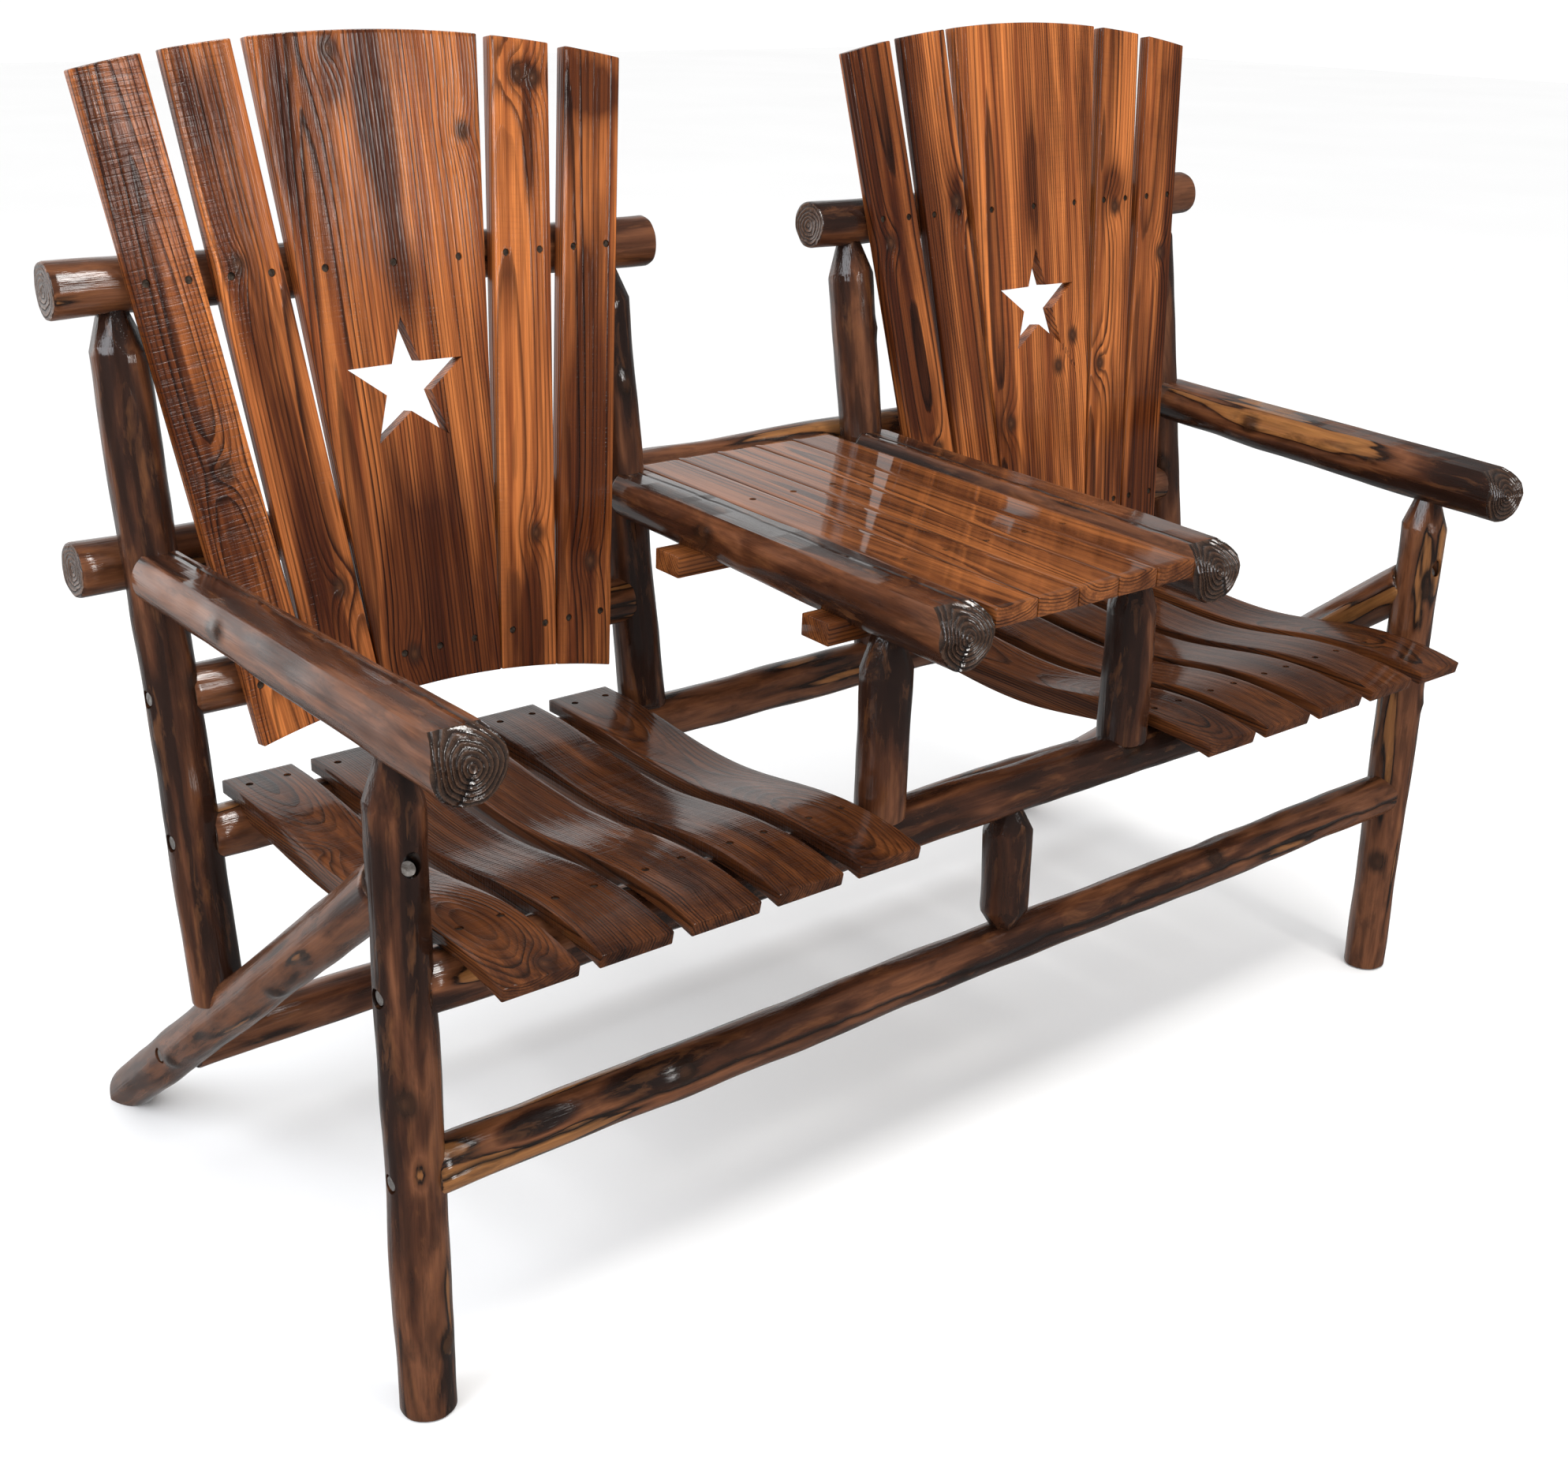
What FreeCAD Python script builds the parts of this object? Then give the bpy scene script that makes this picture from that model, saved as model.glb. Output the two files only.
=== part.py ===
import FreeCAD, Part
import math
import os
import Sketcher
from FreeCAD import Placement, Rotation, Vector

# Log double chair: two slatted seats of logs and boards with a small table between them.
# Millimetres, X to the sitter's left, Y to the back, Z up. The pieces are set out from the plane of the
# front legs, midway between the chairs, and then set forward together, so that the origin lies on the
# floor under the middle of the whole.

doc = FreeCAD.newDocument("log_double_chair")

# Driving sizes

DRIVING = (
    ("log_dia", 52, "legs, posts, rails and cross logs"),
    ("end_soft", 3, "softened edge of a free log end"),
    ("tenon_dia", 30, "round tenon on a pointed log"),
    ("tenon_len", 20, "tenon inside its socket"),
    ("point_len", 36, "pencil-pointed length below a tenon"),
    ("fit_gap", 0.3, "play between fitted round faces"),
    ("socket_spare", 1, "socket deeper than its tenon"),
    ("leg_x", 700, "front legs and braces, from the middle"),
    ("post_out", 6, "outer back posts further out than the front legs"),
    ("inner_x", 174, "inner posts and armrests, from the middle"),
    ("stretcher_z", 245, "front stretcher axis"),
    ("front_rail_z", 424, "front seat rail axis"),
    ("rear_rail_drop", 4, "rear seat rail below the front one"),
    ("cross_z", 561, "lower back log axis"),
    ("back_log_z", 676, "long back log axis"),
    ("top_log_z", 936, "top log axis"),
    ("top_log_over", 59, "top log past the posts under it"),
    ("back_log_over", 56, "long back log past the outer posts"),
    ("post_y", 398, "post axis at the rear rail"),
    ("post_lean", 8.4, "lean of the back, degrees"),
    ("brace_foot_y", 679, "brace axis at the floor"),
    ("brace_top_z", 527, "brace axis at the front leg"),
    ("brace_heel", 8, "heel trimmed ahead of the brace axis at the floor"),
    ("low_rail_y", 508, "low rear stretcher axis"),
    ("mid_post_x", 8, "short post, from the middle"),
    ("mid_point_len", 23, "pointed length of the short post"),
    ("arm_top_z", 685, "planed top of the armrests above the front legs"),
    ("arm_rise", 2, "rise of armrests and table to the back, degrees"),
    ("arm_nose_in", 10, "outer armrest nose nearer the middle than the leg"),
    ("arm_front_dia", 68, "armrest nose"),
    ("arm_rear_dia", 58, "armrest at the post"),
    ("arm_planed", 8, "depth planed off the top"),
    ("arm_overhang", 113, "nose ahead of the front legs"),
    ("arm_nose", 28, "round-over of the nose"),
    ("arm_saddle", 14, "armrest end ahead of the post axis"),
    ("table_drop", 6, "table top below the armrest tops"),
    ("table_slat_t", 20, "table slat thickness"),
    ("table_nose_in", 6, "table front behind the armrest noses"),
    ("table_rear_gap", 4, "table rear to the long back log"),
    ("table_side_gap", 2, "table edge to inner armrest"),
    ("table_slat_gap", 1, "between table slats"),
    ("batten_w", 40, "table batten width"),
    ("batten_end_t", 23, "batten end under the armrest"),
    ("batten_step", 20, "step from batten middle down to its end"),
    ("batten_post_gap", 2, "front batten to the inner front posts"),
    ("batten_rear_y", 286, "rear batten"),
    ("batten_over", 48, "batten end past the axis of the inner posts"),
    ("seat_gap_in", 8.5, "seat to the inner front post"),
    ("seat_gap_out", 10.5, "seat to the front leg"),
    ("seat_slat_gap", 20, "between seat slats"),
    ("seat_slat_t", 14, "seat slat thickness"),
    ("seat_front_over", 96, "seat ahead of the front rail"),
    ("seat_front_drop", 11, "front edge below the crest"),
    ("seat_edge_bevel", 6, "bevel under the front edge"),
    ("seat_hollow_y", 196, "lowest line of the seat"),
    ("seat_hollow_drop", 14, "hollow below the rear of the seat"),
    ("seat_rear_over", 26, "seat behind the rear rail"),
    ("slat_t", 16, "back board thickness"),
    ("fan_foot_in", 132, "foot of the fan narrower than the posts stand apart"),
    ("slab_share", 0.325, "middle board's share of the foot of the fan"),
    ("slab_flare", 4.8, "slant of the middle board's edges, degrees"),
    ("slat_fan_in", 6.1, "slant of the inner narrow boards, degrees"),
    ("slat_fan_out", 7.8, "slant of the outer narrow boards, degrees"),
    ("slat_gap_low", 1, "between back boards at the foot of the fan"),
    ("fan_foot_drop", 62.5, "foot of the fan below the lower back log, along the posts"),
    ("fan_crown", 213.4, "crown of the back above the top log, along the posts"),
    ("fan_top_radius", 1360, "arch of the crown"),
    ("fan_arch_drop", 35.5, "crown of the lower arch below the lower back log"),
    ("fan_arch_radius", 820, "lower arch"),
    ("star_drop", 116.6, "star centre below the top log, along the posts"),
    ("star_out_r", 66, "star tips"),
    ("star_in_r", 26, "star notches"),
    ("screw_len", 30, "wood screw"),
    ("screw_head_dia", 7, "screw head"),
    ("screw_head_t", 3, "screw head height"),
    ("screw_shank_dia", 4, "screw shank"),
    ("screw_sunk", 1.5, "screw head below the wood"),
    ("screw_pair", 40, "between the two screws of a board"),
    ("slab_screw_in", 30, "middle board's outer screws from its edges"),
    ("bolt_head_dia", 13, "bolt head"),
    ("bolt_head_t", 6, "bolt head height"),
    ("bolt_shank_dia", 8, "bolt shank"),
    ("bolt_bore_dia", 18, "counterbore"),
    ("bolt_sunk", 3, "bolt head below the wood"),
    ("bolt_grip", 60, "bolt past the axis of the log under its head"),
    ("bolt_grip_long", 130, "the same for the bolts through the long back log"),
)

# Sizes that follow from the driving ones

FOLLOWING = (
    ("log_r", "=log_dia / 2"),
    ("tool_r", "=log_r + fit_gap"),
    ("lean_tan", "=tan(post_lean)"),
    ("middle_y", "=(brace_foot_y - brace_heel - arm_overhang) / 2"),
    ("post_x", "=leg_x + post_out"),
    ("chair_x", "=(post_x + inner_x) / 2"),
    ("top_log_len", "=post_x - inner_x + 2 * top_log_over"),
    ("back_log_len", "=2 * post_x + 2 * back_log_over"),
    ("rear_rail_z", "=front_rail_z - rear_rail_drop"),
    ("brace_len", "=sqrt(brace_foot_y^2 + brace_top_z^2)"),
    ("brace_tilt", "=atan2(brace_foot_y; brace_top_z)"),
    ("brace_fall", "=brace_top_z / brace_foot_y"),
    ("post_floor_y", "=post_y - rear_rail_z * lean_tan"),
    ("foot_z", "=(brace_top_z - brace_fall * post_floor_y) / (1 + brace_fall * lean_tan)"),
    ("foot_y", "=post_y + (foot_z - rear_rail_z) * lean_tan"),
    ("low_rail_z", "=brace_top_z - brace_fall * low_rail_y"),
    ("cross_y", "=post_y + (cross_z - rear_rail_z) * lean_tan"),
    ("top_log_y", "=post_y + (top_log_z - rear_rail_z) * lean_tan"),
    ("back_log_y", "=post_y + (back_log_z - rear_rail_z) * lean_tan + (log_dia + fit_gap) / cos(post_lean)"),
    ("cross_up", "=(cross_z - rear_rail_z) / cos(post_lean)"),
    ("top_log_up", "=(top_log_z - rear_rail_z) / cos(post_lean)"),
    ("foot_down", "=(rear_rail_z - foot_z) / cos(post_lean)"),
    ("post_point_up", "=top_log_up - log_r"),
    ("arm_front_x", "=leg_x - arm_nose_in"),
    ("arm_end", "=post_y + (arm_top_z - rear_rail_z) * lean_tan - arm_saddle"),
    ("arm_run", "=arm_overhang + arm_end"),
    ("arm_leg_r", "=(arm_front_dia + (arm_rear_dia - arm_front_dia) * arm_overhang / arm_run) / 2"),
    ("arm_under_z", "=arm_top_z - 2 * arm_leg_r + arm_planed"),
    ("nose_centre", "=arm_nose * (1 + sqrt(3)) / 2"),
    ("table_half", "=inner_x - arm_front_dia / 2 - table_side_gap"),
    ("table_slat_w", "=(2 * table_half - 4 * table_slat_gap) / 5"),
    ("table_front", "=arm_overhang - table_nose_in"),
    ("table_rear", "=(back_log_y - log_r - table_rear_gap) / cos(arm_rise)"),
    ("batten_front_y", "=log_r + batten_post_gap + batten_w / 2"),
    ("batten_reach", "=inner_x + batten_over"),
    ("fan_low", "=cross_up - fan_foot_drop"),
    ("fan_arch", "=cross_up - fan_arch_drop"),
    ("fan_top", "=top_log_up + fan_crown"),
    ("star_up", "=top_log_up - star_drop"),
    ("fan_foot_w", "=post_x - inner_x - fan_foot_in"),
    ("slab_low_w", "=fan_foot_w * slab_share"),
    ("slat_sides_w", "=(fan_foot_w - slab_low_w) / 2 - 2 * slat_gap_low"),
    ("slat_w", "=slat_sides_w / (1 / cos(slat_fan_in) + 1 / cos(slat_fan_out))"),
    ("slat_back", "=log_r + fit_gap"),
    ("slat_in_half", "=slat_w / 2 / cos(slat_fan_in)"),
    ("slat_out_half", "=slat_w / 2 / cos(slat_fan_out)"),
    ("slat_in_low", "=slab_low_w / 2 + slat_gap_low + slat_in_half"),
    ("slat_out_low", "=slat_in_low + slat_in_half + slat_gap_low + slat_out_half"),
    ("seat_w", "=leg_x - inner_x - log_dia - seat_gap_in - seat_gap_out"),
    ("seat_slat_w", "=(seat_w - 4 * seat_slat_gap) / 5"),
    ("seat_x", "=inner_x + log_r + seat_gap_in + seat_w / 2"),
    ("front_slat_z", "=front_rail_z + log_r + fit_gap"),
    ("rear_slat_z", "=rear_rail_z + log_r + fit_gap"),
)

sheet = doc.addObject("Spreadsheet::Sheet", "Sizes")
row = 0
for alias, value, note in DRIVING:
    row += 1
    sheet.set(f"A{row}", note)
    sheet.set(f"B{row}", str(value))
    sheet.setAlias(f"B{row}", alias)
for alias, formula in FOLLOWING:
    row += 1
    sheet.set(f"A{row}", "follows")
    sheet.set(f"B{row}", formula)
    sheet.setAlias(f"B{row}", alias)
    doc.recompute()

PARTS = []
SIDES = (("left", -1), ("right", 1))
OVER = 60  # blanks and cutting shapes run past the finished wood by this
ALONG_X = Rotation(Vector(0, 1, 0), 90)


def size(alias):
    """Number held by a cell of the sheet."""
    return float(sheet.get(alias))


def bind(thing, **formulas):
    """Ties properties of a document object to the sheet."""
    for name, formula in formulas.items():
        thing.setExpression(name, formula)


def place(thing, x="0", y="0", z="0", tilt=None, turn=None):
    """Ties a position to the sheet; tilt is an angle about X, turn a fixed rotation."""
    if tilt:
        turn = Rotation(Vector(1, 0, 0), 30)
    thing.Placement = Placement(Vector(), turn or Rotation())
    for letter, formula in zip("xyz", (x, y, z)):
        thing.setExpression(f"Placement.Base.{letter}", formula)
    if tilt:
        thing.setExpression("Placement.Rotation.Angle", tilt)
    return thing


def outline(body, role, points):
    """Closed sketch of straight edges on an origin plane, every corner tied to the sheet."""
    sketch = body.newObject("Sketcher::SketchObject", f"{body.Name}_outline")
    plane = next(item for item in body.Origin.OriginFeatures if item.Role == role)
    sketch.AttachmentSupport = [(plane, "")]
    sketch.MapMode = "FlatFace"
    count = len(points)
    corners = [Vector(10 * index, 7 * index * index, 0) for index in range(count)]
    for index in range(count):
        sketch.addGeometry(Part.LineSegment(corners[index], corners[(index + 1) % count]), False)
    for index in range(count):
        sketch.addConstraint(Sketcher.Constraint("Coincident", index, 2, (index + 1) % count, 1))
    for index, corner in enumerate(points):
        for kind, formula in zip(("DistanceX", "DistanceY"), corner):
            number = sketch.addConstraint(Sketcher.Constraint(kind, -1, 1, index, 1, 1.0))
            sketch.setExpression(f"Constraints[{number}]", formula)
    return sketch


def turned(name, stations):
    """Body turned about its own Z from (radius, height) stations."""
    body = doc.addObject("PartDesign::Body", name)
    points = [("0", stations[0][1])] + list(stations) + [("0", stations[-1][1])]
    sketch = outline(body, "XZ_Plane", points)
    spin = body.newObject("PartDesign::Revolution", f"{name}_turned")
    spin.Profile = sketch
    spin.ReferenceAxis = (sketch, ["V_Axis"])
    spin.Angle = 360
    return body


def straight_log(name, length):
    """Log with softened ends, from 0 to length on its own Z."""
    return turned(name, (
        ("Sizes.log_r - Sizes.end_soft", "0"),
        ("Sizes.log_r", "Sizes.end_soft"),
        ("Sizes.log_r", f"{length} - Sizes.end_soft"),
        ("Sizes.log_r - Sizes.end_soft", length),
    ))


def rod(name, radius, length, x="0", y="0", z="0", tilt=None, turn=None):
    """Plain cylinder, used to cut bores and saddles."""
    thing = doc.addObject("Part::Cylinder", name)
    bind(thing, Radius=radius, Height=length)
    return place(thing, x, y, z, tilt, turn)


def block(name, across, along, high, x="0", y="0", z="0", tilt=None):
    """Plain box from its corner."""
    thing = doc.addObject("Part::Box", name)
    bind(thing, Length=across, Width=along, Height=high)
    return place(thing, x, y, z, tilt)


def cut(name, base, *tools):
    """Takes tools away from a base, one after another."""
    for index, tool in enumerate(tools, 1):
        step = doc.addObject("Part::Cut", f"{name}_cut_{index}")
        step.Base = base
        step.Tool = tool
        base = step
    return base


def group(name, things):
    """Several cutting shapes as one."""
    thing = doc.addObject("Part::Compound", name)
    thing.Links = things
    return thing


def solids(name, shapes):
    """Document object that holds shapes worked out from the sheet's numbers."""
    thing = doc.addObject("Part::Feature", name)
    thing.Shape = Part.makeCompound(shapes)
    thing.Placement = Placement()
    return thing


def keep(thing, label):
    """Names a finished piece, sets it forward with the rest and lists it for writing."""
    thing.Label = label
    thing.setExpression("Placement.Base.y", "-Sizes.middle_y")
    PARTS.append(thing)


# Axes of the logs as cutting shapes, wider by the play, for saddles and sockets

SHAFT = "Sizes.tenon_dia / 2 + Sizes.fit_gap"
legs = {}
braces = {}
posts = {}
post_tenons = []
leg_tenons = []
for side, sign in SIDES:
    legs[side] = rod(f"{side}_leg_space", "Sizes.tool_r", "Sizes.arm_top_z", x=f"{sign} * Sizes.leg_x")
    braces[side] = rod(f"{side}_brace_space", "Sizes.tool_r", f"Sizes.brace_len + {2 * OVER}",
                       x=f"{sign} * Sizes.leg_x", y=f"Sizes.brace_foot_y + {OVER} * sin(Sizes.brace_tilt)",
                       z=f"-{OVER} * cos(Sizes.brace_tilt)", tilt="Sizes.brace_tilt")
    for row_name, alias in (("outer", "post_x"), ("inner", "inner_x")):
        spot = f"{sign} * Sizes.{alias}"
        posts[row_name, side] = rod(f"{row_name}_{side}_post_space", "Sizes.tool_r", "Sizes.top_log_z",
                                    x=spot, y="Sizes.post_floor_y",
                                    tilt="-Sizes.post_lean")
        reach = "Sizes.post_point_up - Sizes.log_r"
        post_tenons.append(rod(f"{row_name}_{side}_post_socket", SHAFT,
                               "Sizes.log_r + Sizes.tenon_len + Sizes.socket_spare", x=spot,
                               y=f"Sizes.post_y + ({reach}) * sin(Sizes.post_lean)",
                               z=f"Sizes.rear_rail_z + ({reach}) * cos(Sizes.post_lean)",
                               tilt="-Sizes.post_lean"))
    for alias in ("leg_x", "inner_x"):
        leg_tenons.append(rod(f"{alias}_{side}_socket", SHAFT,
                              "Sizes.log_r + Sizes.tenon_len + Sizes.socket_spare",
                              x=f"{sign} * Sizes.{alias}", z="Sizes.arm_under_z - Sizes.log_r"))
top_sockets = group("top_sockets", post_tenons)
arm_sockets = group("arm_sockets", leg_tenons)
all_posts = group("all_posts", list(posts.values()))
outer_posts = group("outer_posts", [posts["outer", side] for side, sign in SIDES])
leg_pair = group("leg_pair", list(legs.values()))
brace_pair = group("brace_pair", list(braces.values()))
front_rail_space = rod("front_rail_space", "Sizes.tool_r", "2 * Sizes.leg_x", x="-Sizes.leg_x",
                       z="Sizes.front_rail_z", turn=ALONG_X)
rear_rail_space = rod("rear_rail_space", "Sizes.tool_r", "2 * Sizes.leg_x", x="-Sizes.leg_x",
                      y="Sizes.post_y", z="Sizes.rear_rail_z", turn=ALONG_X)
ground = block("ground", "3 * Sizes.leg_x", "3 * Sizes.leg_x", f"{2 * OVER}", x="-1.5 * Sizes.leg_x",
               y="-Sizes.leg_x", z=f"-{2 * OVER}")
heel = block("heel", "3 * Sizes.leg_x", f"{3 * OVER}", f"{3 * OVER}", x="-1.5 * Sizes.leg_x",
             y="Sizes.brace_foot_y - Sizes.brace_heel", z=f"-{OVER}")
mid_sockets = rod("mid_sockets", SHAFT, "Sizes.front_rail_z - Sizes.stretcher_z - Sizes.log_dia"
                  " + 2 * Sizes.tenon_len + 2 * Sizes.socket_spare", x="Sizes.mid_post_x",
                  z="Sizes.stretcher_z + Sizes.log_r - Sizes.tenon_len - Sizes.socket_spare")

# Bolts: each goes through one log, head sunk in a counterbore, into the end or side of the next

LEAN = math.radians(size("post_lean"))
UP_POST = Vector(0, math.sin(LEAN), math.cos(LEAN))
UP_BRACE = Vector(0, -size("brace_foot_y"), size("brace_top_z")).normalize()


def bolt_list():
    """Point on the axis of the log under the head, way the head faces, and grip past that point."""
    short = size("bolt_grip")
    found = []
    for side, sign in SIDES:
        outward = Vector(sign, 0, 0)
        leg = sign * size("leg_x")
        outer = sign * size("post_x")
        inner = sign * size("inner_x")
        found += [
            (Vector(leg, 0, size("front_rail_z")), outward, short),
            (Vector(leg, 0, size("stretcher_z")), outward, short),
            (Vector(leg, size("low_rail_y"), size("low_rail_z")), outward, short),
            (Vector(outer, size("post_y"), size("rear_rail_z")), outward, short),
            (Vector(outer, size("cross_y"), size("cross_z")), outward, short),
            (Vector(inner, size("cross_y"), size("cross_z")), -outward, short),
            (Vector(leg, 0, size("brace_top_z")), UP_BRACE, short),
            (Vector(outer, size("foot_y"), size("foot_z")), -UP_POST, short),
            (Vector(inner, size("post_y"), size("rear_rail_z")), -UP_POST, short),
            (Vector(inner, 0, size("front_rail_z")), Vector(0, 0, -1), short),
        ]
        for spot in (outer, inner):
            found.append((Vector(spot, size("back_log_y"), size("back_log_z")), Vector(0, 1, 0),
                          size("bolt_grip_long")))
    return found


def bolt(point, way, grip):
    """Bolt with a plain round head."""
    face = size("log_r") - size("bolt_sunk")
    seat = face - size("bolt_head_t")
    head = Part.makeCylinder(size("bolt_head_dia") / 2, size("bolt_head_t"), point + way * seat, way)
    shank = Part.makeCylinder(size("bolt_shank_dia") / 2, seat + grip, point - way * grip, way)
    return head.fuse(shank).removeSplitter()


def bolt_hole(point, way, grip):
    """Counterbore and bore for one bolt."""
    seat = size("log_r") - size("bolt_sunk") - size("bolt_head_t")
    gap = size("fit_gap")
    bore = Part.makeCylinder(size("bolt_bore_dia") / 2, size("log_r"), point + way * seat, way)
    end = grip + size("socket_spare")
    hole = Part.makeCylinder(size("bolt_shank_dia") / 2 + gap, seat + end, point - way * end, way)
    return bore.fuse(hole)


bolts = bolt_list()
bolt_holes = solids("bolt_holes", [bolt_hole(*item) for item in bolts])
keep(solids("frame_bolts", [bolt(*item) for item in bolts]), "frame_bolts")


# Screws: a list of (point on the face of a board, way the head faces)


def screw(point, way):
    """Wood screw with its head sunk below the face."""
    seat = size("screw_sunk") + size("screw_head_t")
    head = Part.makeCylinder(size("screw_head_dia") / 2, size("screw_head_t"), point - way * seat, way)
    shank = Part.makeCylinder(size("screw_shank_dia") / 2, size("screw_len") - size("screw_head_t"),
                              point - way * (size("screw_sunk") + size("screw_len")), way)
    return head.fuse(shank).removeSplitter()


def screw_hole(point, way):
    """Hole for one screw, with room for the head."""
    seat = size("screw_sunk") + size("screw_head_t")
    gap = size("fit_gap")
    head = Part.makeCylinder(size("screw_head_dia") / 2 + gap, seat + OVER / 10, point - way * seat, way)
    deep = size("screw_sunk") + size("screw_len") + size("socket_spare")
    shank = Part.makeCylinder(size("screw_shank_dia") / 2 + gap, deep, point - way * deep, way)
    return head.fuse(shank)


# Positions on a chair's back: across from the chair's middle, up along the posts, out to the front

FRONT = Vector(0, -math.cos(LEAN), math.sin(LEAN))


def tangent(alias):
    """Tangent of an angle held in degrees."""
    return math.tan(math.radians(size(alias)))


def on_back(sign, across, up, out):
    """World point for a place on a chair's back."""
    foot = Vector(sign * size("chair_x") + across, size("post_y"), size("rear_rail_z"))
    return foot + UP_POST * up + FRONT * out


def back_screw_spots(sign):
    """Screws of one chair's back, in a row on the top log and a row on the lower back log."""
    spots = []
    for alias in ("top_log_up", "cross_up"):
        up = size(alias)
        rise = up - size("fan_low")
        half = size("screw_pair") / 2
        inner = size("slat_in_low") + rise * tangent("slat_fan_in")
        outer = size("slat_out_low") + rise * tangent("slat_fan_out")
        edge = size("slab_low_w") / 2 + rise * tangent("slab_flare") - size("slab_screw_in")
        across = [edge, inner - half, inner + half, outer - half, outer + half]
        for value in [0] + across + [-value for value in across]:
            spots.append((on_back(sign, value, up, size("slat_back") + size("slat_t")), FRONT))
    return spots


def seat_middles():
    """Middle of each seat slat, from the seat's middle."""
    pitch = size("seat_slat_w") + size("seat_slat_gap")
    return [pitch * step for step in (-2, -1, 0, 1, 2)]


def seat_screw_spots(sign):
    """Screws of one chair's seat, two through each slat into each rail."""
    spots = []
    half = size("screw_pair") / 2
    for y, z in ((0, size("front_slat_z")), (size("post_y"), size("rear_slat_z"))):
        for middle in seat_middles():
            for step in (-half, half):
                across = sign * size("seat_x") + middle + step
                spots.append((Vector(across, y, z + size("seat_slat_t")), Vector(0, 0, 1)))
    return spots


RISE = math.radians(size("arm_rise"))
TABLE_UP = Vector(0, -math.sin(RISE), math.cos(RISE))


def on_table(across, back, up):
    """World point for a place in the rising frame of armrests and table."""
    foot = Vector(across, 0, size("arm_top_z"))
    return foot + Vector(0, math.cos(RISE), math.sin(RISE)) * back + TABLE_UP * up


def table_screw_spots():
    """One screw through each table slat into each batten."""
    pitch = size("table_slat_w") + size("table_slat_gap")
    spots = []
    for alias in ("batten_front_y", "batten_rear_y"):
        for step in (-2, -1, 0, 1, 2):
            spots.append((on_table(pitch * step, size(alias), -size("table_drop")), TABLE_UP))
    return spots


back_spots = {side: back_screw_spots(sign) for side, sign in SIDES}
seat_spots = {side: seat_screw_spots(sign) for side, sign in SIDES}
table_spots = table_screw_spots()
back_holes = {side: solids(f"back_holes_{side}", [screw_hole(*item) for item in back_spots[side]])
              for side, sign in SIDES}
seat_holes = {side: solids(f"seat_holes_{side}", [screw_hole(*item) for item in seat_spots[side]])
              for side, sign in SIDES}
table_holes = solids("table_holes", [screw_hole(*item) for item in table_spots])
seat_holes_all = group("seat_holes_all", list(seat_holes.values()))
keep(solids("back_screws", [screw(*item) for side, sign in SIDES for item in back_spots[side]]),
     "back_screws")
keep(solids("seat_screws", [screw(*item) for side, sign in SIDES for item in seat_spots[side]]),
     "seat_screws")
keep(solids("table_screws", [screw(*item) for item in table_spots]), "table_screws")

# Front legs, braces and back posts

POINTED = (
    ("Sizes.log_r", "{top} - Sizes.point_len"),
    ("Sizes.tenon_dia / 2", "{top}"),
    ("Sizes.tenon_dia / 2", "{top} + Sizes.tenon_len"),
)


def pointed(top):
    """Stations of a pencil point and tenon whose point ends at a height."""
    return [(radius, height.format(top=top)) for radius, height in POINTED]


for side, sign in SIDES:
    leg = turned(f"{side}_leg", [("Sizes.log_r - Sizes.end_soft", "0"),
                                 ("Sizes.log_r", "Sizes.end_soft")] + pointed("Sizes.arm_under_z"))
    place(leg, x=f"{sign} * Sizes.leg_x")
    keep(cut(f"{side}_leg", leg, bolt_holes), f"front_leg_{side}")

    brace = turned(f"{side}_brace", [("Sizes.log_r", f"-{OVER}"), ("Sizes.log_r", "Sizes.brace_len")])
    place(brace, f"{sign} * Sizes.leg_x", "Sizes.brace_foot_y", "0", tilt="Sizes.brace_tilt")
    keep(cut(f"{side}_brace", brace, ground, heel, legs[side], bolt_holes), f"rear_brace_{side}")

    outer = turned(f"{side}_outer_post",
                   [("Sizes.log_r", "-Sizes.foot_down")] + pointed("Sizes.post_point_up"))
    place(outer, f"{sign} * Sizes.post_x", "Sizes.post_y", "Sizes.rear_rail_z", tilt="-Sizes.post_lean")
    keep(cut(f"{side}_outer_post", outer, braces[side], bolt_holes), f"back_post_outer_{side}")

    inner = turned(f"{side}_inner_post", [("Sizes.log_r", "0")] + pointed("Sizes.post_point_up"))
    place(inner, f"{sign} * Sizes.inner_x", "Sizes.post_y", "Sizes.rear_rail_z", tilt="-Sizes.post_lean")
    keep(cut(f"{side}_inner_post", inner, rear_rail_space, bolt_holes), f"back_post_inner_{side}")

    front = turned(f"{side}_front_post",
                   [("Sizes.log_r", "Sizes.front_rail_z")] + pointed("Sizes.arm_under_z"))
    place(front, x=f"{sign} * Sizes.inner_x")
    keep(cut(f"{side}_front_post", front, front_rail_space, bolt_holes), f"inner_front_post_{side}")

# Logs that run from side to side

for side, sign in SIDES:
    top = straight_log(f"{side}_top", "Sizes.top_log_len")
    place(top, f"{sign} * Sizes.chair_x - Sizes.top_log_len / 2", "Sizes.top_log_y", "Sizes.top_log_z",
          turn=ALONG_X)
    keep(cut(f"{side}_top", top, top_sockets, back_holes[side]), f"top_log_{side}")

    cross = turned(f"{side}_cross", [("Sizes.log_r", "0"), ("Sizes.log_r", "Sizes.post_x - Sizes.inner_x")])
    place(cross, f"{sign} * Sizes.chair_x - (Sizes.post_x - Sizes.inner_x) / 2", "Sizes.cross_y",
          "Sizes.cross_z", turn=ALONG_X)
    keep(cut(f"{side}_cross", cross, all_posts, bolt_holes, back_holes[side]), f"cross_log_{side}")

long_log = straight_log("long_log", "Sizes.back_log_len")
place(long_log, "-Sizes.back_log_len / 2", "Sizes.back_log_y", "Sizes.back_log_z", turn=ALONG_X)
keep(cut("long_log", long_log, bolt_holes), "long_back_log")

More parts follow.
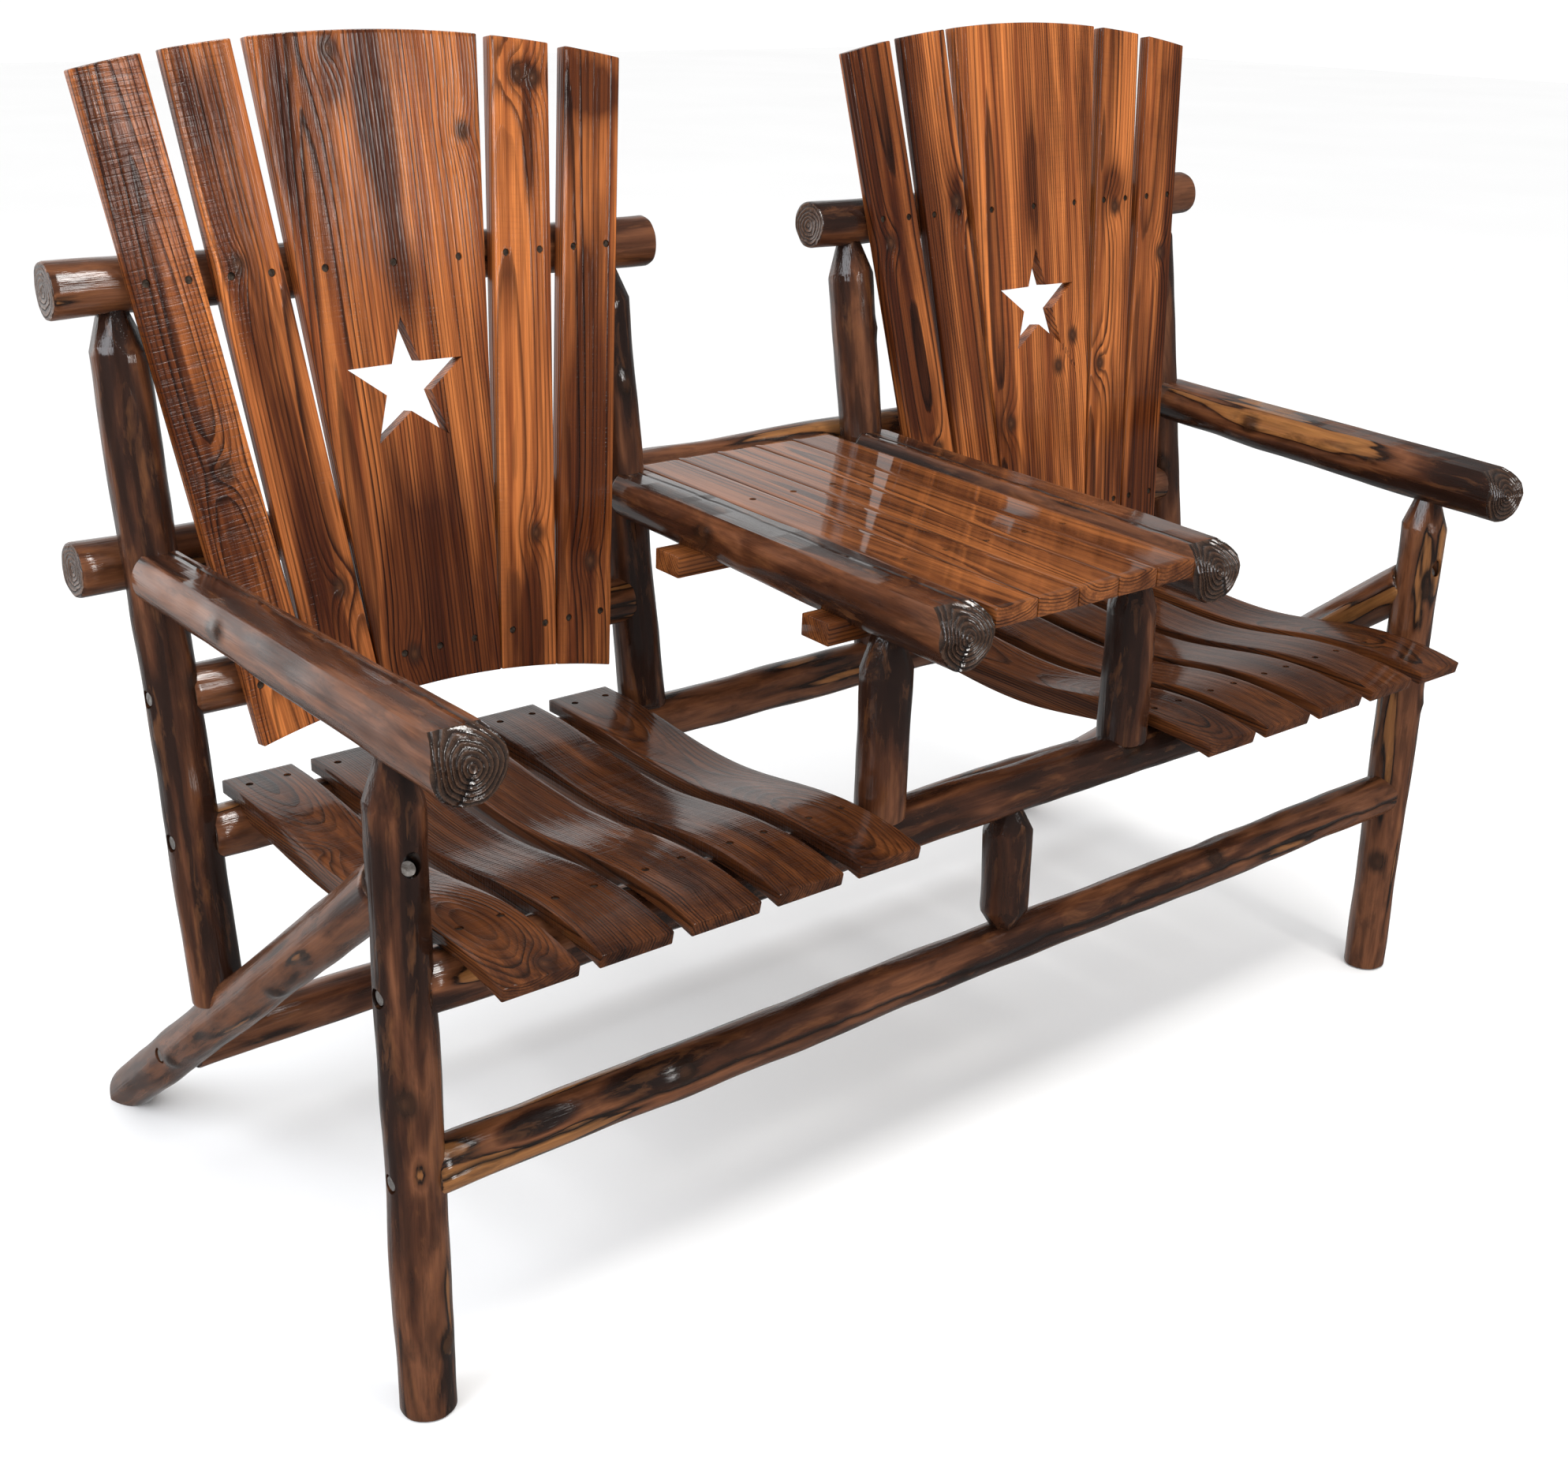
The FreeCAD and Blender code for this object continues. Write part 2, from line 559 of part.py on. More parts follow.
RAILS = (
    ("rear_seat_rail", "post_x", "Sizes.post_y", "Sizes.rear_rail_z",
     (outer_posts, bolt_holes, seat_holes_all)),
    ("front_seat_rail", "leg_x", "0", "Sizes.front_rail_z",
     (leg_pair, mid_sockets, bolt_holes, seat_holes_all)),
    ("front_stretcher", "leg_x", "0", "Sizes.stretcher_z", (leg_pair, mid_sockets, bolt_holes)),
    ("low_rear_stretcher", "leg_x", "Sizes.low_rail_y", "Sizes.low_rail_z", (brace_pair, bolt_holes)),
)
for label, alias, y, z, tools in RAILS:
    rail = turned(f"{label}_log", [("Sizes.log_r", "0"), ("Sizes.log_r", f"2 * Sizes.{alias}")])
    place(rail, f"-Sizes.{alias}", y, z, turn=ALONG_X)
    keep(cut(f"{label}_log", rail, *tools), label)

MID_LOW = "Sizes.stretcher_z + Sizes.log_r"
MID_HIGH = "Sizes.front_rail_z - Sizes.log_r"
mid = turned("mid", (
    ("Sizes.tenon_dia / 2", f"{MID_LOW} - Sizes.tenon_len"),
    ("Sizes.tenon_dia / 2", MID_LOW),
    ("Sizes.log_r", f"{MID_LOW} + Sizes.mid_point_len"),
    ("Sizes.log_r", f"{MID_HIGH} - Sizes.mid_point_len"),
    ("Sizes.tenon_dia / 2", MID_HIGH),
    ("Sizes.tenon_dia / 2", f"{MID_HIGH} + Sizes.tenon_len"),
))
keep(place(mid, x="Sizes.mid_post_x"), "short_mid_post")

# Table battens: bearers with their ends stepped down to pass under the inner armrests

batten_spaces = []
for label, alias in (("front", "batten_front_y"), ("rear", "batten_rear_y")):
    top = "(-Sizes.table_drop - Sizes.table_slat_t)"
    step = f"({top} - Sizes.batten_step)"
    under = f"({step} - Sizes.batten_end_t)"
    bearer = doc.addObject("PartDesign::Body", f"{label}_batten")
    sketch = outline(bearer, "XZ_Plane", (
        ("-Sizes.batten_reach", under), ("Sizes.batten_reach", under), ("Sizes.batten_reach", step),
        ("Sizes.table_half", step), ("Sizes.table_half", top), ("-Sizes.table_half", top),
        ("-Sizes.table_half", step),
        ("-Sizes.batten_reach", step)))
    pad = bearer.newObject("PartDesign::Pad", f"{label}_batten_pad")
    pad.Profile = sketch
    bind(pad, Length="Sizes.batten_w")
    edge = f"(Sizes.{alias} + Sizes.batten_w / 2)"
    place(bearer, "0", f"{edge} * cos(Sizes.arm_rise)",
          f"Sizes.arm_top_z + {edge} * sin(Sizes.arm_rise)", tilt="Sizes.arm_rise")
    keep(cut(f"{label}_batten", bearer, table_holes), f"table_batten_{label}")
    low = f"({under} - {OVER})"
    near = f"(Sizes.{alias} - Sizes.batten_w / 2 - Sizes.fit_gap)"
    batten_spaces.append(block(
        f"{label}_batten_space", f"2 * Sizes.batten_reach + {2 * OVER}",
        "Sizes.batten_w + 2 * Sizes.fit_gap",
        f"{step} - {low}", f"-Sizes.batten_reach - {OVER}",
        f"{near} * cos(Sizes.arm_rise) - {low} * sin(Sizes.arm_rise)",
        f"Sizes.arm_top_z + {near} * sin(Sizes.arm_rise) + {low} * cos(Sizes.arm_rise)",
        tilt="Sizes.arm_rise"))
notches = group("notches", batten_spaces)

# Armrests: tapered logs with a planed top and a rounded nose

for side, sign in SIDES:
    for row_name, front_x, rear_x in (("outer", "arm_front_x", "post_x"), ("inner", "inner_x", "inner_x")):
        name = f"{row_name}_{side}_arm"
        splay = f"(Sizes.{rear_x} - Sizes.{front_x})"
        run = "Sizes.arm_run"
        blank = turned(f"{name}_blank", (("Sizes.arm_front_dia / 2", "0"), ("Sizes.arm_rear_dia / 2", run)))
        blank.setExpression("Placement", (
            f"placement(vector({sign} * Sizes.{front_x}; -Sizes.arm_overhang; Sizes.arm_planed"
            f" - Sizes.arm_front_dia / 2); rotationz({-sign} * atan2({splay}; {run}))"
            f" * rotationx(atan2((Sizes.arm_front_dia - Sizes.arm_rear_dia) / 2; {run}) - 90 deg))"))
        wide = "2 * Sizes.arm_front_dia"
        left = f"{sign} * Sizes.{front_x} - Sizes.arm_front_dia"
        planing = block(f"{name}_planing", wide, f"{run} + {2 * OVER}", "Sizes.arm_front_dia",
                        left, f"-Sizes.arm_overhang - {OVER}", "0")
        corner_side = f"Sizes.nose_centre + {OVER}"
        corner = block(f"{name}_corner", wide, corner_side, corner_side, left,
                       f"-Sizes.arm_overhang - {OVER}", "-Sizes.nose_centre")
        round_nose = rod(f"{name}_round", "Sizes.arm_nose * sqrt(2)", f"{wide} + {2 * OVER}",
                         f"{left} - {OVER}", "Sizes.nose_centre - Sizes.arm_overhang",
                         "-Sizes.nose_centre", turn=ALONG_X)
        shaped = cut(f"{name}_shaped", blank, planing, cut(f"{name}_nose", corner, round_nose))
        place(shaped, z="Sizes.arm_top_z", tilt="Sizes.arm_rise")
        tools = [posts[row_name, side], arm_sockets, bolt_holes]
        if row_name == "inner":
            tools.append(notches)
        keep(cut(name, shaped, *tools), f"armrest_{row_name}_{side}")

# Table slats

for number in range(1, 6):
    step = f"{number - 3} * (Sizes.table_slat_w + Sizes.table_slat_gap)"
    under = "(-Sizes.table_drop - Sizes.table_slat_t)"
    slat = block(f"table_{number}", "Sizes.table_slat_w", "Sizes.table_front + Sizes.table_rear",
                 "Sizes.table_slat_t", f"{step} - Sizes.table_slat_w / 2",
                 f"-Sizes.table_front * cos(Sizes.arm_rise) - {under} * sin(Sizes.arm_rise)",
                 "Sizes.arm_top_z - Sizes.table_front * sin(Sizes.arm_rise)"
                 f" + {under} * cos(Sizes.arm_rise)",
                 tilt="Sizes.arm_rise")
    keep(cut(f"table_{number}", slat, table_holes), f"table_slat_{number}")

# Back boards: a fan of four narrow boards and a wide one with a star, arched above and below.
# They are worked flat, X across, Y up along the posts and Z out to the front.

FLAT_TILT = "90 - Sizes.post_lean"


def fan_board(name, slant, low_middle):
    """Narrow board of the fan before its ends are arched."""
    thing = doc.addObject("Part::Box", name)
    bind(thing, Length="Sizes.slat_w", Width="Sizes.fan_top", Height="Sizes.slat_t")
    thing.Placement = Placement(Vector(), Rotation(Vector(0, 0, 1), 30))
    half = "Sizes.slat_w / 2"
    thing.setExpression("Placement.Rotation.Angle", f"-({slant})")
    thing.setExpression("Placement.Base.x", f"{low_middle} - {half} * cos({slant}) - {OVER} * sin({slant})")
    thing.setExpression("Placement.Base.y", f"Sizes.fan_low + {half} * sin({slant}) - {OVER} * cos({slant})")
    thing.setExpression("Placement.Base.z", "Sizes.slat_back")
    return thing


def slab_board(name):
    """Middle board, wider at the top, before its ends are arched."""
    thing = doc.addObject("Part::Wedge", name)
    low = f"(Sizes.slab_low_w / 2 - {OVER} * tan(Sizes.slab_flare))"
    high = f"(Sizes.slab_low_w / 2 + (Sizes.fan_top - {OVER}) * tan(Sizes.slab_flare))"
    bind(thing, Xmin=f"-{low}", Xmax=low, X2min=f"-{high}", X2max=high, Ymin="0", Ymax="Sizes.fan_top",
         Zmin="0", Zmax="Sizes.slat_t", Z2min="0", Z2max="Sizes.slat_t")
    return place(thing, "0", f"Sizes.fan_low - {OVER}", "Sizes.slat_back")


star = doc.addObject("PartDesign::Body", "star")
star_corners = []
for index in range(10):
    radius = "Sizes.star_in_r" if index % 2 else "Sizes.star_out_r"
    star_corners.append((f"{radius} * cos({90 + 36 * index})",
                         f"Sizes.star_up + {radius} * sin({90 + 36 * index})"))
star_sketch = outline(star, "XY_Plane", star_corners)
star_pad = star.newObject("PartDesign::Pad", "star_pad")
star_pad.Profile = star_sketch
bind(star_pad, Length="Sizes.slat_back + 2 * Sizes.slat_t")
crown = rod("crown", "Sizes.fan_top_radius", "3 * Sizes.slat_t",
            y="Sizes.fan_top - Sizes.fan_top_radius", z="Sizes.slat_back - Sizes.slat_t")
arch = rod("arch", "Sizes.fan_arch_radius", "3 * Sizes.slat_t",
           y="Sizes.fan_arch - Sizes.fan_arch_radius", z="Sizes.slat_back - Sizes.slat_t")
FAN = (
    (1, "-Sizes.slat_fan_out", "-Sizes.slat_out_low"),
    (2, "-Sizes.slat_fan_in", "-Sizes.slat_in_low"),
    (3, None, None),
    (4, "Sizes.slat_fan_in", "Sizes.slat_in_low"),
    (5, "Sizes.slat_fan_out", "Sizes.slat_out_low"),
)
for side, sign in SIDES:
    for number, slant, low_middle in FAN:
        name = f"back_{side}_{number}"
        tools = [arch]
        if slant:
            board = fan_board(f"{name}_board", slant, low_middle)
        else:
            board = slab_board(f"{name}_board")
            tools.append(star)
        capped = doc.addObject("Part::Common", f"{name}_capped")
        capped.Base = board
        capped.Tool = crown
        arched = cut(f"{name}_arched", capped, *tools)
        place(arched, f"{sign} * Sizes.chair_x", "Sizes.post_y", "Sizes.rear_rail_z", tilt=FLAT_TILT)
        keep(cut(name, arched, back_holes[side]), f"back_slat_{side}_{number}")

# Seat slats: one profile of tangent arcs, level over both rails, hollow between them, rolled down in front


def swing(start, end):
    """Two equal arcs from one level point to another, as (middle, end) pairs."""
    dy = end[0] - start[0]
    dz = end[1] - start[1]
    radius = (dy * dy + dz * dz) / (4 * abs(dz))
    bend = math.asin(dy / 2 / radius) / 2
    sink = math.copysign(radius * (1 - math.cos(bend)), dz)
    half = ((start[0] + end[0]) / 2, (start[1] + end[1]) / 2)
    first = (start[0] + radius * math.sin(bend), start[1] + sink)
    second = (end[0] - radius * math.sin(bend), end[1] - sink)
    return [(first, half), (second, end)]


def swing_back(start, end):
    """The same two arcs, for a path that runs to smaller Y."""
    return [((-through[0], through[1]), (-there[0], there[1]))
            for through, there in swing((-start[0], start[1]), (-end[0], end[1]))]


def seat_path():
    """Middle line of a seat slat from the rear end to the front edge, as a wire in the YZ plane."""
    half = size("seat_slat_t") / 2
    rear = (size("post_y"), size("rear_slat_z") + half)
    hollow = (size("seat_hollow_y"), rear[1] - size("seat_hollow_drop"))
    crest = (0, size("front_slat_z") + half)
    over = size("seat_front_over")
    drop = size("seat_front_drop")
    radius = (over * over + drop * drop) / (2 * drop)
    bend = math.asin(over / radius)
    roll = (-radius * math.sin(bend / 2), crest[1] - radius * (1 - math.cos(bend / 2)))
    start = (rear[0] + size("seat_rear_over"), rear[1])
    edges = [Part.makeLine(Vector(0, *start), Vector(0, *rear))]
    here = rear
    arcs = swing_back(rear, hollow) + swing_back(hollow, crest) + [(roll, (-over, crest[1] - drop))]
    for through, there in arcs:
        edges.append(Part.Arc(Vector(0, *here), Vector(0, *through), Vector(0, *there)).toShape())
        here = there
    return Part.Wire(edges)


def seat_slat_shape():
    """Seat slat about X = 0: the path thickened to both sides and drawn across the slat's width."""
    path = seat_path()
    half = size("seat_slat_t") / 2
    upper = path.makeOffset2D(half, openResult=True, join=2)
    lower = path.makeOffset2D(-half, openResult=True, join=2)
    ends = []
    for index in (0, -1):
        ends.append(Part.makeLine(upper.OrderedVertexes[index].Point, lower.OrderedVertexes[index].Point))
    face = Part.Face(Part.Wire(Part.__sortEdges__(upper.Edges + lower.Edges + ends)))
    width = size("seat_slat_w")
    face.translate(Vector(-width / 2, 0, 0))
    board = face.extrude(Vector(width, 0, 0))
    across = [edge for edge in board.Edges if edge.BoundBox.YLength + edge.BoundBox.ZLength < 0.01]
    front = sorted(across, key=lambda edge: edge.CenterOfMass.y)[:2]
    lower = min(front, key=lambda edge: edge.CenterOfMass.z)
    return board.makeChamfer(size("seat_edge_bevel"), [lower])


seat_shape = seat_slat_shape()
for side, sign in SIDES:
    for number, middle in enumerate(seat_middles(), 1):
        slat = doc.addObject("Part::Feature", f"seat_{side}_{number}_board")
        slat.Shape = seat_shape
        slat.Placement = Placement(Vector(sign * size("seat_x") + middle, 0, 0), Rotation())
        keep(cut(f"seat_{side}_{number}", slat, seat_holes[side]), f"seat_slat_{side}_{number}")

# Check and write

doc.recompute()
faulty = [item.Name for item in doc.Objects if "Invalid" in item.State or "Error" in item.State]
if faulty:
    raise RuntimeError(f"objects in error: {faulty}")
for part in PARTS:
    if part.Shape.isNull() or not part.Shape.isValid() or not part.Shape.Solids:
        raise RuntimeError(f"no sound shape: {part.Label}")
os.makedirs("parts", exist_ok=True)
for part in PARTS:
    part.Shape.exportStep(f"parts/{part.Label}.step")
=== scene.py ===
from math import atan, copysign, cos, hypot, pi, radians, sin, sqrt, tan

import bmesh
import bpy
import numpy as np
from mathutils import Matrix, Vector, noise


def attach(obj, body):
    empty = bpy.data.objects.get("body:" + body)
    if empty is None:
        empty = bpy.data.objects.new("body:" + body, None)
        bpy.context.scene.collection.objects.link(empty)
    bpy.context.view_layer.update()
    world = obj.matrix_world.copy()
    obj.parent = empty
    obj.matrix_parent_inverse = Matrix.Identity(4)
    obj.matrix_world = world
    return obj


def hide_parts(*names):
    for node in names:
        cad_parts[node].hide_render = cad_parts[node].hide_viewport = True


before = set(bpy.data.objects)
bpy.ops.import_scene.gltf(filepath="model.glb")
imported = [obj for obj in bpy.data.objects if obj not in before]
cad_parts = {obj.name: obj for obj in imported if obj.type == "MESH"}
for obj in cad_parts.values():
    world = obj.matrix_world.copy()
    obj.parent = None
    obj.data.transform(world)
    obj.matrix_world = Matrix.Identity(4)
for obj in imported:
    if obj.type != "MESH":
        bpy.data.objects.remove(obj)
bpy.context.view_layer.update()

# Front legs. Each is a peeled pine log, charred with a torch and lacquered, that stands on the floor and
# ends in a hacked pencil point under its armrest. The rail, the stretcher and the brace are bolted to it
# through counterbored holes.

log_r = 0.026
bark_r = 0.028
counterbore = {"radius": 0.009, "depth": 0.009}
rings_per_metre = 215


def select(piece, kind, test):
    """Selects the points, edges or faces of the piece in edit mode that pass a test."""
    bpy.ops.mesh.select_mode(type=kind)
    bpy.ops.mesh.select_all(action="DESELECT")
    shape = bmesh.from_edit_mesh(piece.data)
    for item in {"VERT": shape.verts, "EDGE": shape.edges, "FACE": shape.faces}[kind]:
        if test(item):
            item.select_set(True)
    bmesh.update_edit_mesh(piece.data)


def only(piece):
    """Makes the piece the one selected, active object."""
    bpy.ops.object.select_all(action="DESELECT")
    piece.select_set(True)
    bpy.context.view_layer.objects.active = piece


def edit(piece):
    """Opens the piece in edit mode."""
    only(piece)
    bpy.ops.object.mode_set(mode="EDIT")


def leave():
    """Goes back from edit mode to object mode."""
    bpy.ops.object.mode_set(mode="OBJECT")


def take_all():
    """Selects all of the piece that is being edited."""
    bpy.ops.mesh.select_all(action="SELECT")


def apply(piece, kind, **settings):
    """Puts a modifier on the piece and applies it."""
    only(piece)
    modifier = piece.modifiers.new(kind, kind)
    for key, value in settings.items():
        setattr(modifier, key, value)
    bpy.ops.object.modifier_apply(modifier=modifier.name)


def peeled_log(node, length, foot_radius=log_r, top_radius=log_r, soft=0.003, uneven=0.8, seed=0):
    """Upright log from 0 to length on its own Z, with softened rims, uneven girth and lumps."""
    bpy.ops.mesh.primitive_cone_add(vertices=48, radius1=foot_radius, radius2=top_radius, depth=length,
                                    end_fill_type="NGON", location=(0, 0, length / 2))
    log = bpy.context.object
    log.name = log.data.name = f"{node}_wood"
    bpy.ops.object.transform_apply(location=True, rotation=False, scale=False)
    edit(log)
    select(log, "EDGE", lambda edge: abs(edge.verts[0].co.z - edge.verts[1].co.z) > length / 2)
    bpy.ops.mesh.subdivide(number_cuts=max(6, round(length / 0.008)))
    select(log, "EDGE", lambda edge: all(min(abs(v.co.z), abs(v.co.z - length)) < 1e-5 for v in edge.verts))
    bpy.ops.mesh.bevel(offset=soft, offset_type="OFFSET", segments=2, affect="EDGES")
    leave()
    bpy.ops.object.empty_add(location=(1.7 * seed, 0.9 * seed, 2.3 * seed))
    fibre_way = bpy.context.object
    fibre_way.scale = (1, 1, 3.2)
    bpy.context.view_layer.update()
    for kind, coarse, depth in (("girth", 0.075, 0.0075), ("lumps", 0.024, 0.003)):
        texture = bpy.data.textures.new(f"log_{kind}", "CLOUDS")
        texture.noise_scale = coarse
        texture.noise_depth = 1
        apply(log, "DISPLACE", texture=texture, texture_coords="OBJECT", texture_coords_object=fibre_way,
              strength=depth * uneven)
    bpy.data.objects.remove(fibre_way)
    return log


def raise_knots(log, knots):
    """Swells the log where a branch grew: knots are (height, angle, size), angle 0 facing local X."""
    edit(log)
    spots = []
    for height, angle, size in knots:
        way = Vector((cos(radians(angle)), sin(radians(angle)), 0))
        shape = bmesh.from_edit_mesh(log.data)
        aim = way * bark_r + Vector((0, 0, height))
        nearest = min(shape.verts, key=lambda vert: (vert.co - aim).length)
        spot = nearest.co.copy()
        select(log, "VERT", lambda vert: (vert.co - spot).length < 1e-6)
        bpy.ops.transform.translate(value=way * size * 0.22, use_proportional_edit=True,
                                    proportional_edit_falloff="SMOOTH", proportional_size=size * 1.5)
        spots.append(tuple(spot))
    leave()
    return spots


def cut_away(piece, planes):
    """Saws off what lies beyond each plane, given as a point on it and the way that is cut away."""
    edit(piece)
    for point, way in planes:
        take_all()
        bpy.ops.mesh.bisect(plane_co=point, plane_no=way, use_fill=True, clear_outer=True)
    leave()


def pencil_point(log, tip, way, run, tip_radius=0.0145, facets=8, turn=0.0):
    """Hacks flat facets round one end of the log: tip is the height where they leave tip_radius."""
    planes = []
    for index in range(facets):
        angle = turn + 2 * pi * index / facets
        uneven = 1 + 0.12 * sin(5.1 * index + turn)
        slope = atan((log_r - tip_radius) / run) * uneven
        out = Vector((cos(angle), sin(angle), 0))
        planes.append((out * tip_radius + Vector((0, 0, tip)),
                       out * cos(slope) + Vector((0, 0, way * sin(slope)))))
    cut_away(log, planes)


def frame_at(spot, across, aside, along):
    """Frame with its zero at the spot and its X, Y and Z along the three ways."""
    return Matrix.Translation(spot) @ Matrix((across, aside, along)).transposed().to_4x4()


def axes(foot, top, face=(0, -1, 0)):
    """Frame of a log: Z from foot to top, X as near as it can be to the way that it faces."""
    along = (Vector(top) - Vector(foot)).normalized()
    across = (Vector(face) - along * along.dot(Vector(face))).normalized()
    return frame_at(foot, across, along.cross(across), along)


def set_up(piece, place):
    """Puts a piece modelled in its own frame where it belongs, with its place in its mesh."""
    only(piece)
    piece.matrix_world = place
    bpy.ops.object.transform_apply(location=True, rotation=True, scale=True)


def clean_cuts(piece):
    """Merges the crumbs that cutting leaves, and splits its many-sided faces into well shaped triangles."""
    edit(piece)
    take_all()
    bpy.ops.mesh.remove_doubles(threshold=0.00003)
    bpy.ops.mesh.quads_convert_to_tris(quad_method="BEAUTY", ngon_method="BEAUTY")
    bpy.ops.mesh.dissolve_degenerate(threshold=0.00003)
    leave()


def subtract(piece, cutter):
    """Cuts a closed shape out of the piece and throws the cutter away."""
    apply(piece, "BOOLEAN", operation="DIFFERENCE", solver="EXACT", object=cutter)
    bpy.data.objects.remove(cutter)


def bore(piece, spots, radius, depth):
    """Drills holes: each spot is a point on the surface and the way out of the hole."""
    over = 0.02
    cutters = []
    for point, way in spots:
        bpy.ops.mesh.primitive_cylinder_add(vertices=24, radius=radius, depth=depth + over)
        cutter = bpy.context.object
        middle = Vector(point) + Vector(way) * (over - depth) / 2
        turn = Vector(way).to_track_quat("Z", "Y").to_matrix().to_4x4()
        set_up(cutter, Matrix.Translation(middle) @ turn)
        cutters.append(cutter)
    only(cutters[0])
    for cutter in cutters:
        cutter.select_set(True)
    if len(cutters) > 1:
        bpy.ops.object.join()
    subtract(piece, bpy.context.object)
    clean_cuts(piece)


def mark_grain(piece, place, seed, tone=0.5, pith=(0, 0), knots=(), burns=(), sawn=0.0, split=None):
    """Stores where each point lay in the tree, and the marks of the piece in its own frame.

    Knots are (x, y, z), burns are (x, y, z, half width, half length, depth), sawn is how much the saw
    shows, and split is the angle in degrees at which a log has cracked while it dried.
    """
    mesh = piece.data
    points = np.empty(len(mesh.vertices) * 3, np.float32)
    mesh.vertices.foreach_get("co", points)
    back = np.array(place.inverted())
    own = points.reshape(-1, 3) @ back[:3, :3].T + back[:3, 3]
    far = 0.2
    from_knot = np.full((len(own), 4), far)
    for spot in knots:
        gap = (own - np.array(spot)) * (1, 1, 0.75)
        reach = np.linalg.norm(gap, axis=1)
        nearer = reach < from_knot[:, 3]
        from_knot[nearer] = np.column_stack((gap, reach))[nearer]
    # Burns darken by their depth: torch char, and on the back boards partly painted shade low down above the
    # seat.
    burnt_and_shaded = np.zeros(len(own))
    for x, y, z, half_width, half_length, depth in burns:
        gap = (own - np.array((x, y, z))) / (half_width, half_width, half_length)
        burnt_and_shaded += depth * np.exp(-np.sum(gap * gap, axis=1))
    crack = (0, 0, 0)
    if split is not None:
        crack = (cos(radians(split)), sin(radians(split)), 0)
    for name, kind, field, values in (
            ("grain", "FLOAT_VECTOR", "vector", own + np.array((pith[0], pith[1], 3.7 * seed))),
            ("knot", "FLOAT_COLOR", "color", from_knot),
            ("split", "FLOAT_VECTOR", "vector", np.tile(crack, (len(own), 1))),
            ("tone", "FLOAT", "value", np.full(len(own), tone)),
            ("burnt_and_shaded", "FLOAT", "value", burnt_and_shaded),
            ("sawn", "FLOAT", "value", np.full(len(own), sawn))):
        mesh.attributes.new(name, kind, "POINT").data.foreach_set(field, values.astype(np.float32).ravel())


